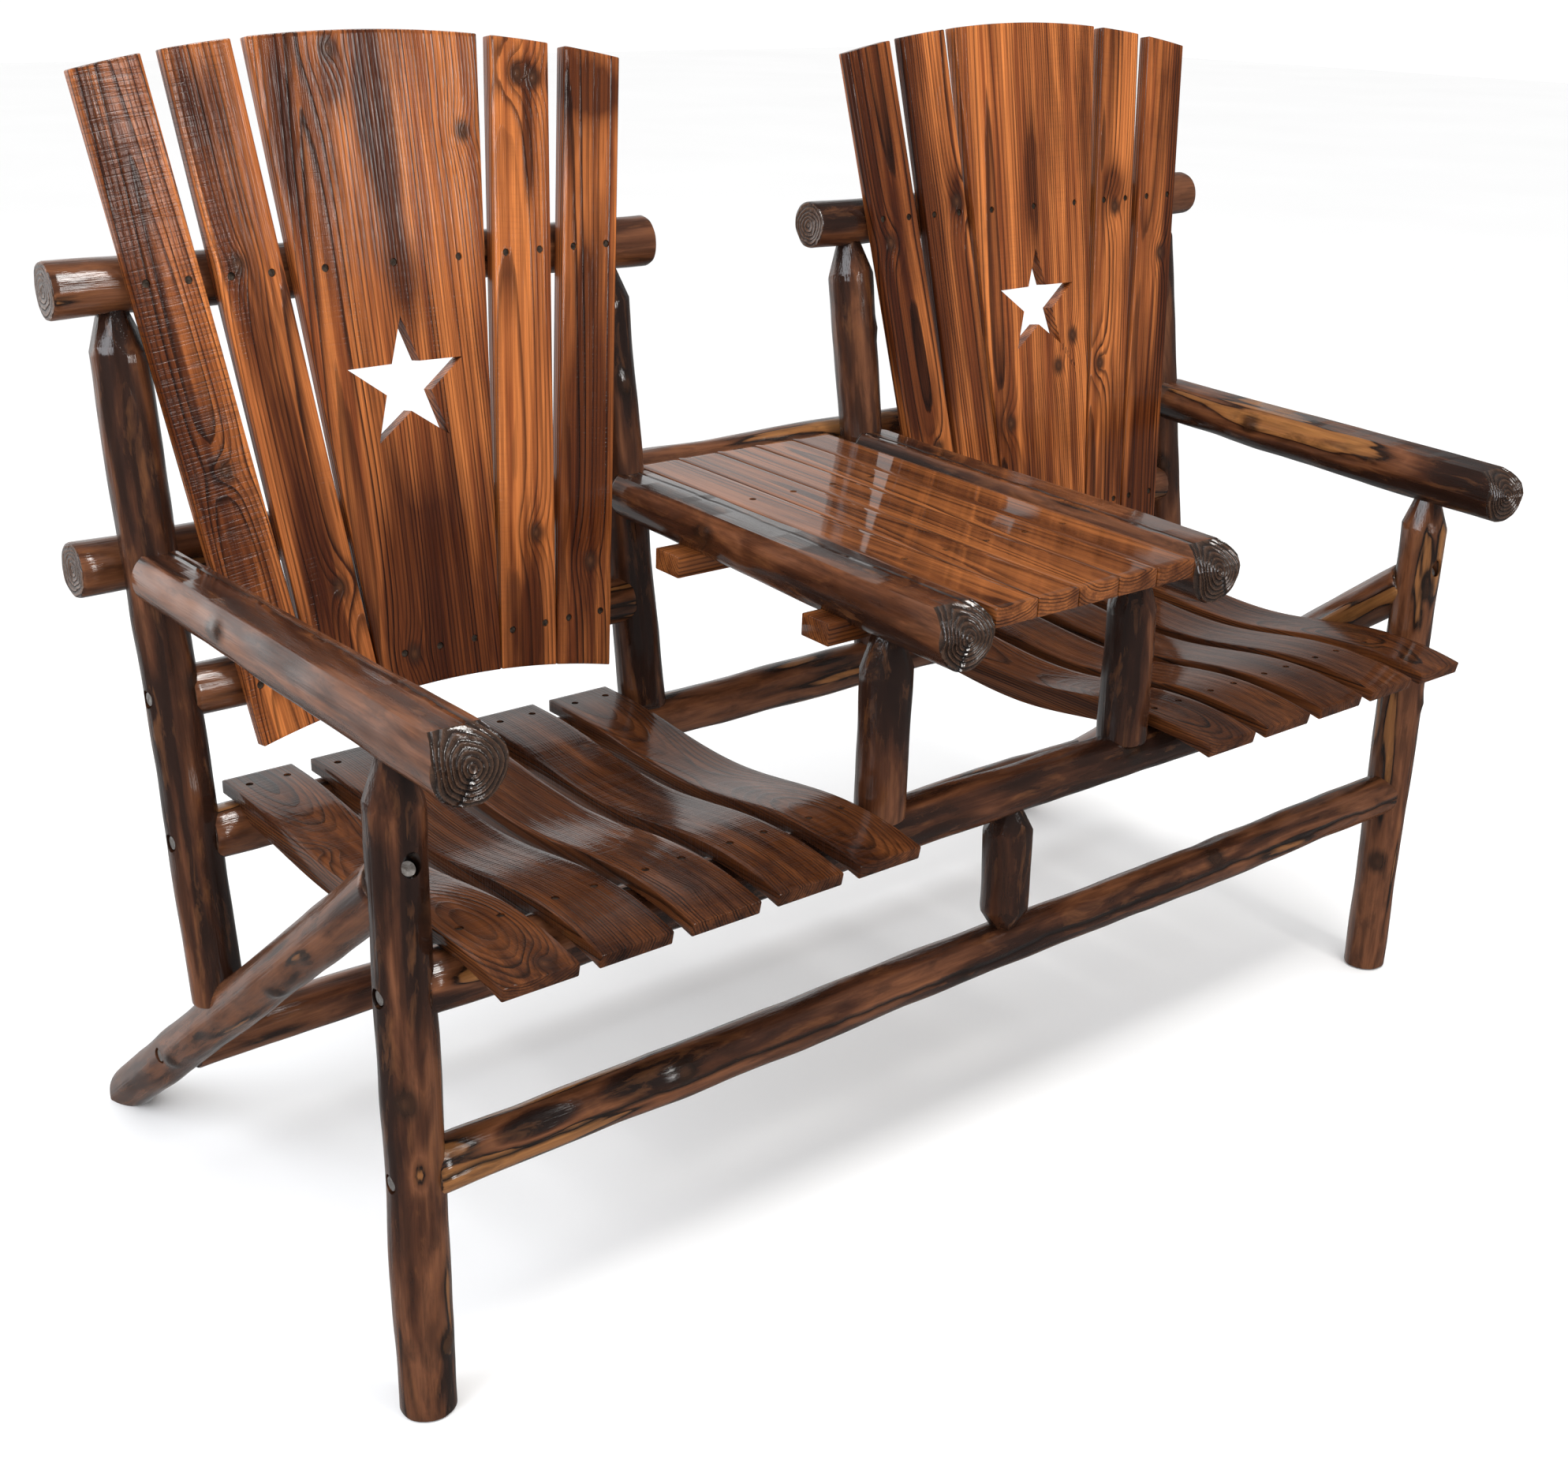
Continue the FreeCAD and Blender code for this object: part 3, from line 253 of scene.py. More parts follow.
class Finish:
    """A procedural finish being mixed: nodes are added one after another and wired as they come."""

    def __init__(self, name):
        self.material = bpy.data.materials.new(name)
        self.material.use_nodes = True
        self.tree = self.material.node_tree
        self.shader = self.tree.nodes["Principled BSDF"]

    def add(self, kind, out=0, values=(), **settings):
        """Adds a node; values are sockets or constants for its inputs, by name or number."""
        made = self.tree.nodes.new(f"ShaderNode{kind}")
        for key, value in settings.items():
            setattr(made, key, value)
        for key, value in dict(values).items():
            self.wire(value, made.inputs[key])
        return made.outputs[out]

    def wire(self, value, socket):
        if isinstance(value, bpy.types.NodeSocket):
            self.tree.links.new(value, socket)
        else:
            socket.default_value = value

    def stored(self, name, out="Fac"):
        return self.add("Attribute", out, attribute_name=name)

    def maths(self, operation, first, second=0.0):
        return self.add("Math", 0, {0: first, 1: second}, operation=operation)

    def plus(self, first, *more):
        for term in more:
            first = self.maths("ADD", first, term)
        return first

    def less(self, first, second):
        return self.maths("SUBTRACT", first, second)

    def times(self, first, second):
        return self.maths("MULTIPLY", first, second)

    def cloud(self, vector, scale, detail=3.0, rough=0.6, twist=0.0):
        """Noise stretched along the grain: scale is (across, across, along) in waves per metre."""
        placed = self.add("Mapping", 0, {"Vector": vector, "Scale": scale})
        return self.add("TexNoise", "Fac", {"Vector": placed, "Scale": 1.0, "Detail": detail,
                                            "Roughness": rough, "Distortion": twist})

    def ramp(self, factor, stops):
        """Colour or grey by a factor; stops are (position, colour)."""
        made = self.tree.nodes.new("ShaderNodeValToRGB")
        self.wire(factor, made.inputs[0])
        steps = made.color_ramp.elements
        while len(steps) < len(stops):
            steps.new(0.5)
        for step, (position, colour) in zip(steps, stops):
            step.position = position
            if isinstance(colour, (int, float)):
                colour = (colour,) * 3
            step.color = (*colour, 1)
        return made.outputs[0]

    def mix(self, factor, first, second, blend="MIX"):
        made = self.tree.nodes.new("ShaderNodeMix")
        made.data_type = "RGBA"
        made.blend_type = blend
        for value, socket in ((factor, made.inputs[0]), (first, made.inputs[6]), (second, made.inputs[7])):
            if isinstance(value, tuple) and len(value) == 3:
                value = (*value, 1)
            self.wire(value, socket)
        return made.outputs[2]

    def relief(self, height, distance, strength=1.0):
        return self.add("Bump", 0, {"Height": height, "Distance": distance, "Strength": strength})

    def about(self, factor, amount):
        """A factor that wanders round a half, made a shift to either side of nothing."""
        return self.times(self.less(factor, 0.5), amount)

    def off_knot(self):
        """Distance from the nearest knot, exact close to it."""
        exact = self.add("VectorMath", "Value", {0: self.stored("knot", "Vector")}, operation="LENGTH")
        return self.maths("MAXIMUM", exact, self.less(self.stored("knot", "Alpha"), 0.008))

    def off_pith(self, grain):
        """Distance from the middle of the trunk."""
        flat = self.add("VectorMath", 0, {0: grain, 1: (1, 1, 0)}, operation="MULTIPLY")
        return self.add("VectorMath", "Value", {0: flat}, operation="LENGTH")

    def off_split(self, grain, wander, swing):
        """Distance to either side of the wandering drying crack, and distance out on its side of the pith."""
        split = self.stored("split", "Vector")
        aside = self.add("VectorMath", 0, {0: grain, 1: split}, operation="CROSS_PRODUCT")
        aside = self.plus(self.add("SeparateXYZ", "Z", {0: aside}), self.about(wander, swing))
        out = self.add("VectorMath", "Value", {0: grain, 1: split}, operation="DOT_PRODUCT")
        return self.maths("ABSOLUTE", aside), out

    def lacquer(self, coat, coat_rough, coat_ior=1.5):
        for name, value in (("Coat Weight", coat), ("Coat Roughness", coat_rough), ("Coat IOR", coat_ior),
                            ("Specular IOR Level", 0.06)):
            self.shader.inputs[name].default_value = value

    def show(self, colour, rough, normal, coat_normal=None):
        self.wire(colour, self.shader.inputs["Base Color"])
        self.wire(rough, self.shader.inputs["Roughness"])
        self.wire(normal, self.shader.inputs["Normal"])
        if coat_normal:
            self.wire(coat_normal, self.shader.inputs["Coat Normal"])
        return self.material


def charred_log_finish():
    """Side of a log: growth layers bared by the knife, tan where fresh, dark where the torch bit."""
    mixed = Finish("charred_log")
    grain = mixed.stored("grain", "Vector")
    tone = mixed.stored("tone")
    swell = mixed.cloud(grain, (27, 27, 3.4), 2, 0.5, 0.8)
    streak = mixed.cloud(grain, (120, 120, 4.5), 4, 0.62)
    fibre = mixed.cloud(grain, (560, 560, 11), 3, 0.6)
    layer = mixed.times(mixed.less(mixed.off_pith(grain), log_r), 18.0)
    chip = mixed.cloud(grain, (62, 62, 10), 2, 0.5, 0.6)
    layer = mixed.plus(layer, swell, mixed.about(streak, 0.07), mixed.about(chip, 0.15),
                       mixed.about(tone, 0.55))
    layer = mixed.less(layer, mixed.times(mixed.stored("burnt_and_shaded"), 0.5))
    wood = mixed.ramp(layer, (
        (0.0, (0.011, 0.0045, 0.003)), (0.22, (0.022, 0.008, 0.0045)), (0.34, (0.06, 0.02, 0.0085)),
        (0.45, (0.138, 0.051, 0.022)), (0.54, (0.1, 0.035, 0.014)), (0.59, (0.012, 0.005, 0.003)),
        (0.61, (0.018, 0.008, 0.004)), (0.63, (0.19, 0.076, 0.024)), (0.72, (0.28, 0.12, 0.037)),
        (0.86, (0.22, 0.086, 0.027)), (0.89, (0.022, 0.009, 0.004)), (0.92, (0.22, 0.09, 0.028)),
        (1.0, (0.3, 0.132, 0.042))))
    wood = mixed.mix(1.0, wood, mixed.ramp(streak, ((0.3, 0.74), (0.5, 0.98), (0.7, 1.18))), "MULTIPLY")
    wood = mixed.mix(0.25, wood, mixed.ramp(fibre, ((0.32, 0.45), (0.62, 1.25))), "MULTIPLY")
    mottle = mixed.cloud(grain, (75, 75, 16), 4, 0.65, 0.5)
    wood = mixed.mix(mixed.ramp(mottle, ((0.36, 0.45), (0.5, 0.0))), wood, (0.012, 0.005, 0.003))
    wood = mixed.mix(mixed.ramp(mottle, ((0.54, 0.0), (0.7, 0.3))), wood, (0.23, 0.088, 0.03))
    gap = mixed.plus(mixed.off_knot(), mixed.about(streak, 0.012))
    rim = mixed.ramp(gap, ((0.003, 0.85), (0.006, 1.0), (0.015, 0.0)))
    heart = mixed.ramp(gap, ((0.002, 0.7), (0.005, 0.0)))
    wood = mixed.mix(rim, wood, (0.01, 0.005, 0.003))
    wood = mixed.mix(heart, wood, (0.06, 0.024, 0.011))
    # The drying check is painted shade: a near-black line stands in for the shade in its depth, and the
    # relief sinks a groove there.
    aside, out = mixed.off_split(grain, mixed.cloud(grain, (2, 2, 7), 3, 0.6), 0.022)
    crack = mixed.times(mixed.ramp(aside, ((0.0004, 1.0), (0.0013, 0.0))),
                        mixed.maths("GREATER_THAN", out, 0.012))
    wood = mixed.mix(crack, wood, (0.006, 0.003, 0.002))
    height = mixed.plus(mixed.times(fibre, 0.25), mixed.times(streak, 0.6), mixed.times(layer, 0.9))
    height = mixed.less(height, mixed.times(crack, 1.6))
    mixed.lacquer(1.0, 0.08, 1.6)
    rough = mixed.ramp(streak, ((0.3, 0.36), (0.7, 0.52)))
    return mixed.show(wood, rough, mixed.relief(height, 0.0012), mixed.relief(height, 0.0011))


def end_grain_finish(name, early, late, ridged, coat_rough, coat_ior, carved=False):
    """End of a log: growth rings round the pith, early wood worn down, and a drying check.

    Where the rings are carved, their turns come from the mesh.
    """
    mixed = Finish(name)
    grain = mixed.stored("grain", "Vector")
    wander = mixed.cloud(grain, (45, 45, 1), 3, 0.5)
    turn = mixed.stored("turns") if carved else mixed.plus(
        mixed.times(mixed.off_pith(grain), rings_per_metre), mixed.times(wander, 2.8))
    ring = mixed.maths("FRACT", turn)
    wood = mixed.ramp(ring, ((0.0, late), (0.7, early), (0.9, late)))
    speck = mixed.cloud(grain, (230, 230, 1), 4, 0.7)
    wood = mixed.mix(0.8, wood, mixed.ramp(speck, ((0.3, 0.4), (0.66, 1.3))), "MULTIPLY")
    ridge = mixed.ramp(ring, ((0.0, 0.0), (0.25, 0.25), (0.72, 1.0), (0.95, 0.0)))
    height = mixed.plus(ridge, mixed.times(speck, 0.35))
    # The drying check on the end is painted shade: a near-black line for the shade in its depth, with a
    # groove in the relief.
    aside, out = mixed.off_split(grain, wander, 0.01)
    crack = mixed.times(mixed.ramp(aside, ((0.0004, 1.0), (0.0012, 0.0))),
                        mixed.maths("LESS_THAN", out, -0.006))
    wood = mixed.mix(crack, wood, (0.004, 0.002, 0.002))
    height = mixed.less(height, mixed.times(crack, 1.5))
    mixed.lacquer(1.0, coat_rough, coat_ior)
    normal = mixed.relief(height, ridged)
    return mixed.show(wood, 0.4, normal, normal)


charred_log = charred_log_finish()
sawn_end = end_grain_finish("sawn_end_grain", (0.115, 0.058, 0.034), (0.022, 0.01, 0.006),
                            0.001, 0.16, 1.5)


def dress_log(log, node, place, seed, tone=0.5, knots=(), burns=(), split=None, end=sawn_end,
              nose=0.004, turned=0.9):
    """Gives a finished log its grain, its two finishes, and its place on the frame.

    The end finish shows within the length of its nose, on faces that are turned that far along the log.
    Burns are (height, angle, half width, half length, depth).
    """
    on_bark = [(log_r * cos(radians(angle)), log_r * sin(radians(angle)), height, *size)
               for height, angle, *size in burns]
    mark_grain(log, place, seed, tone, knots=knots, burns=on_bark, split=split)
    log.data.materials.append(charred_log)
    log.data.materials.append(end)
    along = place.to_3x3().col[2]
    foot = place.translation
    reach = [(vertex.co - foot).dot(along) for vertex in log.data.vertices]
    low, high = min(reach), max(reach)
    for face in log.data.polygons:
        level = (face.center - foot).dot(along)
        if abs(face.normal.dot(along)) > turned and min(level - low, high - level) < nose:
            face.material_index = 1
    only(log)
    bpy.ops.object.shade_smooth_by_angle(angle=radians(42))
    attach(log, "root")
    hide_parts(node)


front_y = -0.279
leg_x = 0.7
leg_len = 0.645
leg_tip = 0.627
point_run = 0.036
front_rail_z = 0.424
stretcher_z = 0.245
brace_z = 0.527
brace_foot_y = 0.4
floor_cut = ((0, 0, 0), (0, 0, -1))
brace_way = Vector((0, front_y - brace_foot_y, brace_z)).normalized()
LEG_KNOTS = {"left": ((0.075, 25, 0.012), (0.33, -35, 0.01), (0.5, 35, 0.009)),
             "right": ((0.16, -60, 0.011), (0.37, 20, 0.01), (0.52, -25, 0.01))}
LEG_BURNS = {"left": ((0.5, 60, 0.03, 0.12, 0.9), (0.1, 0, 0.06, 0.16, -0.2),
                      (0.26, -20, 0.008, 0.018, -0.7), (0.45, -100, 0.022, 0.16, 0.8)),
             "right": ((0.44, 30, 0.02, 0.07, 0.8), (0.1, 0, 0.06, 0.14, 0.12))}
for side, sign, seed, tone in (("left", -1, 1, 0.4), ("right", 1, 2, 0.52)):
    node = f"front_leg_{side}"
    leg = peeled_log(node, leg_len, seed=seed)
    knots = raise_knots(leg, LEG_KNOTS[side])
    pencil_point(leg, leg_tip, 1, point_run, turn=0.2 * seed)
    place = axes((sign * leg_x, front_y, 0), (sign * leg_x, front_y, 1))
    set_up(leg, place)
    cut_away(leg, [floor_cut])
    out = Vector((sign, 0, 0))
    bolted = ((front_rail_z, out), (stretcher_z, out), (brace_z, brace_way))
    bore(leg, [(Vector((sign * leg_x, front_y, z)) + way * log_r, way) for z, way in bolted], **counterbore)
    dress_log(leg, node, place, seed, tone, knots, LEG_BURNS[side])

# Rear braces. Each is a straight log that runs from the front leg, under the seat, down to the floor
# behind. Its top end runs into the leg, and it is cut flat where it stands and trimmed at the heel.

heel_cut = ((0, 0.392, 0), (0, 1, 0))
low_y = 0.229
low_z = 0.1327
heel_over = 0.06
leg_clear = 0.014
for side, sign, seed, tone in (("left", -1, 3, 0.33), ("right", 1, 4, 0.48)):
    node = f"rear_brace_{side}"
    foot = Vector((sign * leg_x, brace_foot_y, 0)) - brace_way * heel_over
    top = Vector((sign * leg_x, front_y, brace_z)) - brace_way * leg_clear
    brace = peeled_log(node, (top - foot).length, seed=seed)
    knots = raise_knots(brace, ((0.3, 60 * sign, 0.01), (0.62, -30, 0.01)))
    place = axes(foot, top)
    set_up(brace, place)
    cut_away(brace, (floor_cut, heel_cut))
    out = Vector((sign, 0, 0))
    bore(brace, [(Vector((sign * leg_x, low_y, low_z)) + out * log_r, out)], **counterbore)
    dress_log(brace, node, place, seed, tone, knots)

# Back posts. The outer ones stand on the braces and the inner ones on the rear rail, all leaning back
# together. Their tops are hacked to points that are tenoned into the top logs.

lean = radians(8.4)
up_post = Vector((0, sin(lean), cos(lean)))
post_x = 0.706
inner_x = 0.174
rail_y = 0.119
rail_z = 0.42
cross_y = 0.1398
cross_z = 0.561
post_top = 0.508
post_tip = 0.4956
POSTS = (("outer", "left", -post_x, -0.169, 5, 0.08), ("outer", "right", post_x, -0.169, 6, 0.26),
         ("inner", "left", -inner_x, 0.016, 7, 0.04), ("inner", "right", inner_x, 0.016, 8, 0.08))
for row, side, x, low, seed, tone in POSTS:
    node = f"back_post_{row}_{side}"
    rail_point = Vector((x, rail_y, rail_z))
    cross_point = Vector((x, cross_y, cross_z))
    foot = rail_point + up_post * low
    place = axes(foot, foot + up_post)
    post = peeled_log(node, post_top - low, uneven=0.85, seed=seed)
    knots = raise_knots(post, ((0.22 + 0.02 * seed, 40 * (seed % 3 - 1), 0.01),))
    pencil_point(post, post_tip - low, 1, point_run, turn=0.3 * seed)
    set_up(post, place)
    out = Vector((copysign(1, x), 0, 0))
    if row == "outer":
        bore(post, [(point + out * log_r, out) for point in (rail_point, cross_point)], **counterbore)
    else:
        bore(post, [(cross_point - out * log_r, -out)], **counterbore)
    dress_log(post, node, place, seed, tone, knots)

# Rails and stretchers. Four long logs tie the two sides together: a seat rail in front and behind, a
# stretcher low in front, and one low behind between the braces. Their ends run into the uprights.

RAILS = (
    ("front_seat_rail", leg_x, front_y, front_rail_z, 9, -0.06, ((0.33, 20, 0.01), (0.86, -20, 0.011)),
     ((0.07, -30, 0.03, 0.06, -1.3),), None),
    ("front_stretcher", leg_x, front_y, stretcher_z, 10, 0.42,
     ((0.26, -30, 0.013), (0.62, 10, 0.012), (1.02, -40, 0.012)),
     ((0.13, -40, 0.05, 0.16, -0.62), (0.1, -45, 0.011, 0.036, 2.0), (0.225, -50, 0.013, 0.048, 2.0),
      (0.75, -30, 0.05, 0.3, 0.5)), -5),
    ("rear_seat_rail", post_x, rail_y, rail_z, 11, 0.45, ((0.5, 10, 0.01),), (), None),
    ("low_rear_stretcher", leg_x, low_y, low_z, 12, 0.38, ((0.7, 0, 0.01),), (), 140),
)
inset = 0.012
for node, reach, y, z, seed, tone, bumps, burns, split in RAILS:
    rail = peeled_log(node, 2 * (reach - inset), uneven=1.0, seed=seed)
    knots = raise_knots(rail, bumps)
    place = axes((inset - reach, y, z), (reach, y, z))
    set_up(rail, place)
    if node == "front_seat_rail":
        bore(rail, [((x, y, z - log_r), (0, 0, -1)) for x in (-inner_x, inner_x)], **counterbore)
    if node == "rear_seat_rail":
        bore(rail, [(Vector((x, y, z)) - up_post * log_r, -up_post) for x in (-inner_x, inner_x)],
             **counterbore)
    dress_log(rail, node, place, seed, tone, knots, burns, split)

# Posts between the chairs. Two short ones stand on the front rail and carry the inner armrests, and a
# shorter one, pointed at both ends, stands between the stretcher and the rail.

short_foot_z = 0.44
short_len = 0.205
short_tip = 0.187
mid_x = 0.008
mid_foot_z = 0.258
mid_len = 0.153
mid_end = 0.013
mid_run = 0.023
for side, x, seed, tone in (("left", -inner_x, 13, 0.04), ("right", inner_x, 14, 0.12)):
    node = f"inner_front_post_{side}"
    place = axes((x, front_y, short_foot_z), (x, front_y, 1))
    post = peeled_log(node, short_len, seed=seed)
    pencil_point(post, short_tip, 1, point_run, turn=0.4 * seed)
    set_up(post, place)
    dress_log(post, node, place, seed, tone)
place = axes((mid_x, front_y, mid_foot_z), (mid_x, front_y, 1))
mid_post = peeled_log("short_mid_post", mid_len, seed=15)
pencil_point(mid_post, mid_len - mid_end, 1, mid_run, facets=7, turn=0.35)
pencil_point(mid_post, mid_end, -1, mid_run, facets=7, turn=0.15)
set_up(mid_post, place)
dress_log(mid_post, "short_mid_post", place, 15, 0.2)

# Back logs. A short log across the top of each chair and another low down carry the back boards, and
# one long log runs behind all four posts. Their free ends are sawn square and softened.

chair_x = 0.44
top_half = 0.325
top_y = 0.1952
top_z = 0.936
long_half = 0.762
long_y = 0.2097
long_z = 0.676
BACK_LOGS = (
    ("top_log_left", -chair_x - top_half, -chair_x + top_half, top_y, top_z, 16, 0.42),
    ("top_log_right", chair_x - top_half, chair_x + top_half, top_y, top_z, 17, 0.26),
    ("cross_log_left", inset - post_x, -inner_x - inset, cross_y, cross_z, 18, 0.45),
    ("cross_log_right", inner_x + inset, post_x - inset, cross_y, cross_z, 19, 0.4),
    ("long_back_log", -long_half, long_half, long_y, long_z, 20, 0.46),
)
for node, start, stop, y, z, seed, tone in BACK_LOGS:
    place = axes((start, y, z), (stop, y, z))
    log = peeled_log(node, stop - start, seed=seed)
    knots = raise_knots(log, ((0.16 + 0.01 * seed, 30, 0.01),))
    set_up(log, place)
    if node == "long_back_log":
        bore(log, [((x, y + log_r, z), (0, 1, 0)) for x in (-post_x, -inner_x, inner_x, post_x)],
             **counterbore)
    dress_log(log, node, place, seed, tone, knots)

# Armrests. Four stouter logs, thickest in front, rest on the pencil points and butt against the back
# posts. Their tops are planed flat and their noses rounded over, which bares the end grain.

nose_grain = end_grain_finish("nose_end_grain", (0.066, 0.034, 0.02), (0.012, 0.006, 0.004),
                              0.0015, 0.05, 1.8, carved=True)
nose_len = 0.045
nose_turned = 0.19
nose_r = 0.0396
nose_sunk = 0.0383
net_step = 0.001
net_half = 36
ring_depth = 0.0009
arm_x = 0.69
arm_start = -0.113
arm_stop = 0.4231
arm_front_r = 0.034
arm_rear_r = 0.029
arm_front_down = 0.026
arm_rear_down = 0.021
rise = radians(2)
arm_back = Vector((0, cos(rise), sin(rise)))
arm_up = Vector((0, -sin(rise), cos(rise)))
arm_zero = Vector((0, front_y, 0.685))


def on_arm(across, back, up):
    """Point in the rising frame that armrests and table share."""
    return arm_zero + Vector((across, 0, 0)) + arm_back * back + arm_up * up


def carve_rings(arm, place, seed):
    """Nets the nose finely and wears its early wood down, which leaves the growth rings proud."""
    to_own = place.inverted()
    across, aside, along = place.to_3x3().transposed()
    foot = place.translation.copy()

    def turns(point):
        x, y, _ = to_own @ point
        return rings_per_metre * hypot(x, y) + 0.5 * noise.fractal((40 * x, 40 * y, seed), 1, 2, 2)

    edit(arm)
    select(arm, "FACE", lambda face: face.normal.dot(along) < -nose_turned
           and (face.calc_center_median() - foot).dot(along) < nose_len)
    bpy.ops.mesh.hide(unselected=True)
    for way in (across, aside):
        for step in range(-net_half, net_half + 1):
            take_all()
            bpy.ops.mesh.bisect(plane_co=foot + way * step * net_step, plane_no=way)
    for vert in bmesh.from_edit_mesh(arm.data).verts:
        if vert.link_faces and not any(face.hide for face in vert.link_faces):
            ridge = np.interp(turns(vert.co) % 1, (0, 0.25, 0.72, 0.95), (0, 0.25, 1, 0))
            vert.co += along * (1 - ridge) * ring_depth
    bmesh.update_edit_mesh(arm.data)
    bpy.ops.mesh.reveal()
    leave()
    clean_cuts(arm)
    ring = arm.data.attributes.new("turns", "FLOAT", "POINT")
    ring.data.foreach_set("value", [turns(vertex.co) for vertex in arm.data.vertices])


ARMS = (("outer", "left", -arm_x, -post_x, 21, 0.24, 25,
         ((0.17, 10, 0.007, 0.045, 1.4), (0.3, -15, 0.007, 0.1, -0.7))),
        ("outer", "right", arm_x, post_x, 22, 0.52, None,
         ((0.27, -150, 0.026, 0.4, 1.2), (0.05, -60, 0.05, 0.1, 1.0), (0.33, -70, 0.013, 0.12, -0.5))),
        ("inner", "left", -inner_x, -inner_x, 23, -0.06, 20, ()),
        ("inner", "right", inner_x, inner_x, 24, 0.2, -30, ((0.27, -110, 0.025, 0.4, 0.9),)))
for row, side, front, rear, seed, tone, split, burns in ARMS:
    node = f"armrest_{row}_{side}"
    foot = on_arm(front, arm_start, -arm_front_down)
    top = on_arm(rear, arm_stop, -arm_rear_down)
    place = axes(foot, top, face=(0, 0, 1))
    arm = peeled_log(node, (top - foot).length, arm_front_r, arm_rear_r, 0.007, 0.7, seed)
    knots = raise_knots(arm, ((0.16, 75, 0.011), (0.36, -80, 0.01)))
    set_up(arm, place)
    cuts = [(on_arm(0, 0, 0), arm_up)]
    for degrees in (18, 30, 42, 54, 66, 78):
        swing = radians(degrees)
        way = arm_up * sin(swing) - arm_back * cos(swing)
        cuts.append((on_arm(0, nose_sunk + arm_start, -nose_sunk) + way * nose_r, way))
    cut_away(arm, cuts)
    carve_rings(arm, place, seed)
    dress_log(arm, node, place, seed, tone, knots, burns, split, nose_grain, nose_len, nose_turned)

# Table. Two sawn battens pass under the inner armrests and carry five planed boards that lie between
# them, one screw through each board into each batten.

screw_hole = {"radius": 0.0038, "depth": 0.006}


def board_finish(name, light, middle, dark, char, ring, coat, coat_rough, ridged):
    """Sawn and brushed softwood: growth lines left proud, torch and saw marks, knots and lacquer."""
    mixed = Finish(name)
    grain = mixed.stored("grain", "Vector")
    off_knot = mixed.off_knot()
    drift = mixed.cloud(grain, (8, 8, 1.0), 2, 0.5, 0.2)
    streak = mixed.cloud(grain, (85, 85, 2.0), 4, 0.6)
    fibre = mixed.cloud(grain, (700, 700, 8), 3, 0.6)
    torch = mixed.cloud(grain, (20, 20, 2.4), 4, 0.58, 0.4)
    radius = mixed.plus(mixed.off_pith(grain), mixed.times(drift, 0.026))
    taper = mixed.times(mixed.add("SeparateXYZ", "Z", {0: grain}), 0.01)
    bulge = mixed.maths("POWER", 2.718, mixed.times(off_knot, -60.0))
    radius = mixed.plus(radius, taper, mixed.times(bulge, 0.013))
    turn = mixed.plus(mixed.maths("DIVIDE", radius, ring), mixed.times(streak, 0.8))
    late = mixed.ramp(mixed.maths("FRACT", turn), (
        (0.0, 0.0), (0.42, 0.06), (0.7, 0.65), (0.84, 1.0), (0.95, 0.85), (1.0, 0.0)))
    year = mixed.add("TexNoise", "Fac", {"W": mixed.times(turn, 0.43), "Scale": 1.0,
                                         "Detail": 1.0}, noise_dimensions="1D")
    late = mixed.times(late, mixed.ramp(year, ((0.36, 0.3), (0.62, 1.0))))
    wood = mixed.mix(mixed.ramp(streak, ((0.36, 0.0), (0.62, 1.0))), light, middle)
    wood = mixed.mix(late, wood, dark)
    # Char from the torch noise and the stored burns; on the back boards the low burns also lay painted shade
    # above the seat.
    burn_and_shade = mixed.less(torch, mixed.about(mixed.stored("tone"), 0.5))
    burn_and_shade = mixed.plus(burn_and_shade, mixed.times(mixed.stored("burnt_and_shaded"), 0.34))
    burn_and_shade = mixed.ramp(burn_and_shade, ((0.46, 0.0), (0.57, 0.45), (0.72, 1.0)))
    wood = mixed.mix(mixed.times(burn_and_shade, 0.92), wood, mixed.mix(1.0, wood, char, "MULTIPLY"))
    wood = mixed.mix(0.6, wood, mixed.ramp(fibre, ((0.3, 0.42), (0.62, 1.25))), "MULTIPLY")
    blade = mixed.ramp(mixed.cloud(grain, (14, 14, 420), 2, 0.5), ((0.5, 0.0), (0.6, 1.0)))
    blade = mixed.times(mixed.times(blade, mixed.stored("sawn")),
                        mixed.ramp(torch, ((0.42, 0.0), (0.58, 1.0))))
    wood = mixed.mix(mixed.times(blade, 0.75), wood, (0.035, 0.014, 0.01))
    gap = mixed.plus(off_knot, mixed.about(fibre, 0.003))
    rim = mixed.ramp(gap, ((0.003, 1.0), (0.0055, 0.8), (0.011, 0.0)))
    wood = mixed.mix(rim, wood, (0.014, 0.006, 0.004))
    wood = mixed.mix(mixed.ramp(gap, ((0.001, 0.8), (0.005, 0.0))), wood, (0.1, 0.036, 0.014))
    height = mixed.plus(mixed.times(late, 0.8), mixed.times(fibre, 0.5))
    height = mixed.less(height, mixed.times(blade, 0.8))
    mixed.lacquer(coat, coat_rough)
    rough = mixed.ramp(streak, ((0.3, 0.36), (0.7, 0.52)))
    return mixed.show(wood, rough, mixed.relief(height, 0.0008), mixed.relief(height, ridged))


def ease_edges(piece, width):
    """Takes the sharpness off the sawn edges."""
    apply(piece, "BEVEL", width=width, segments=2, limit_method="ANGLE", angle_limit=radians(50))


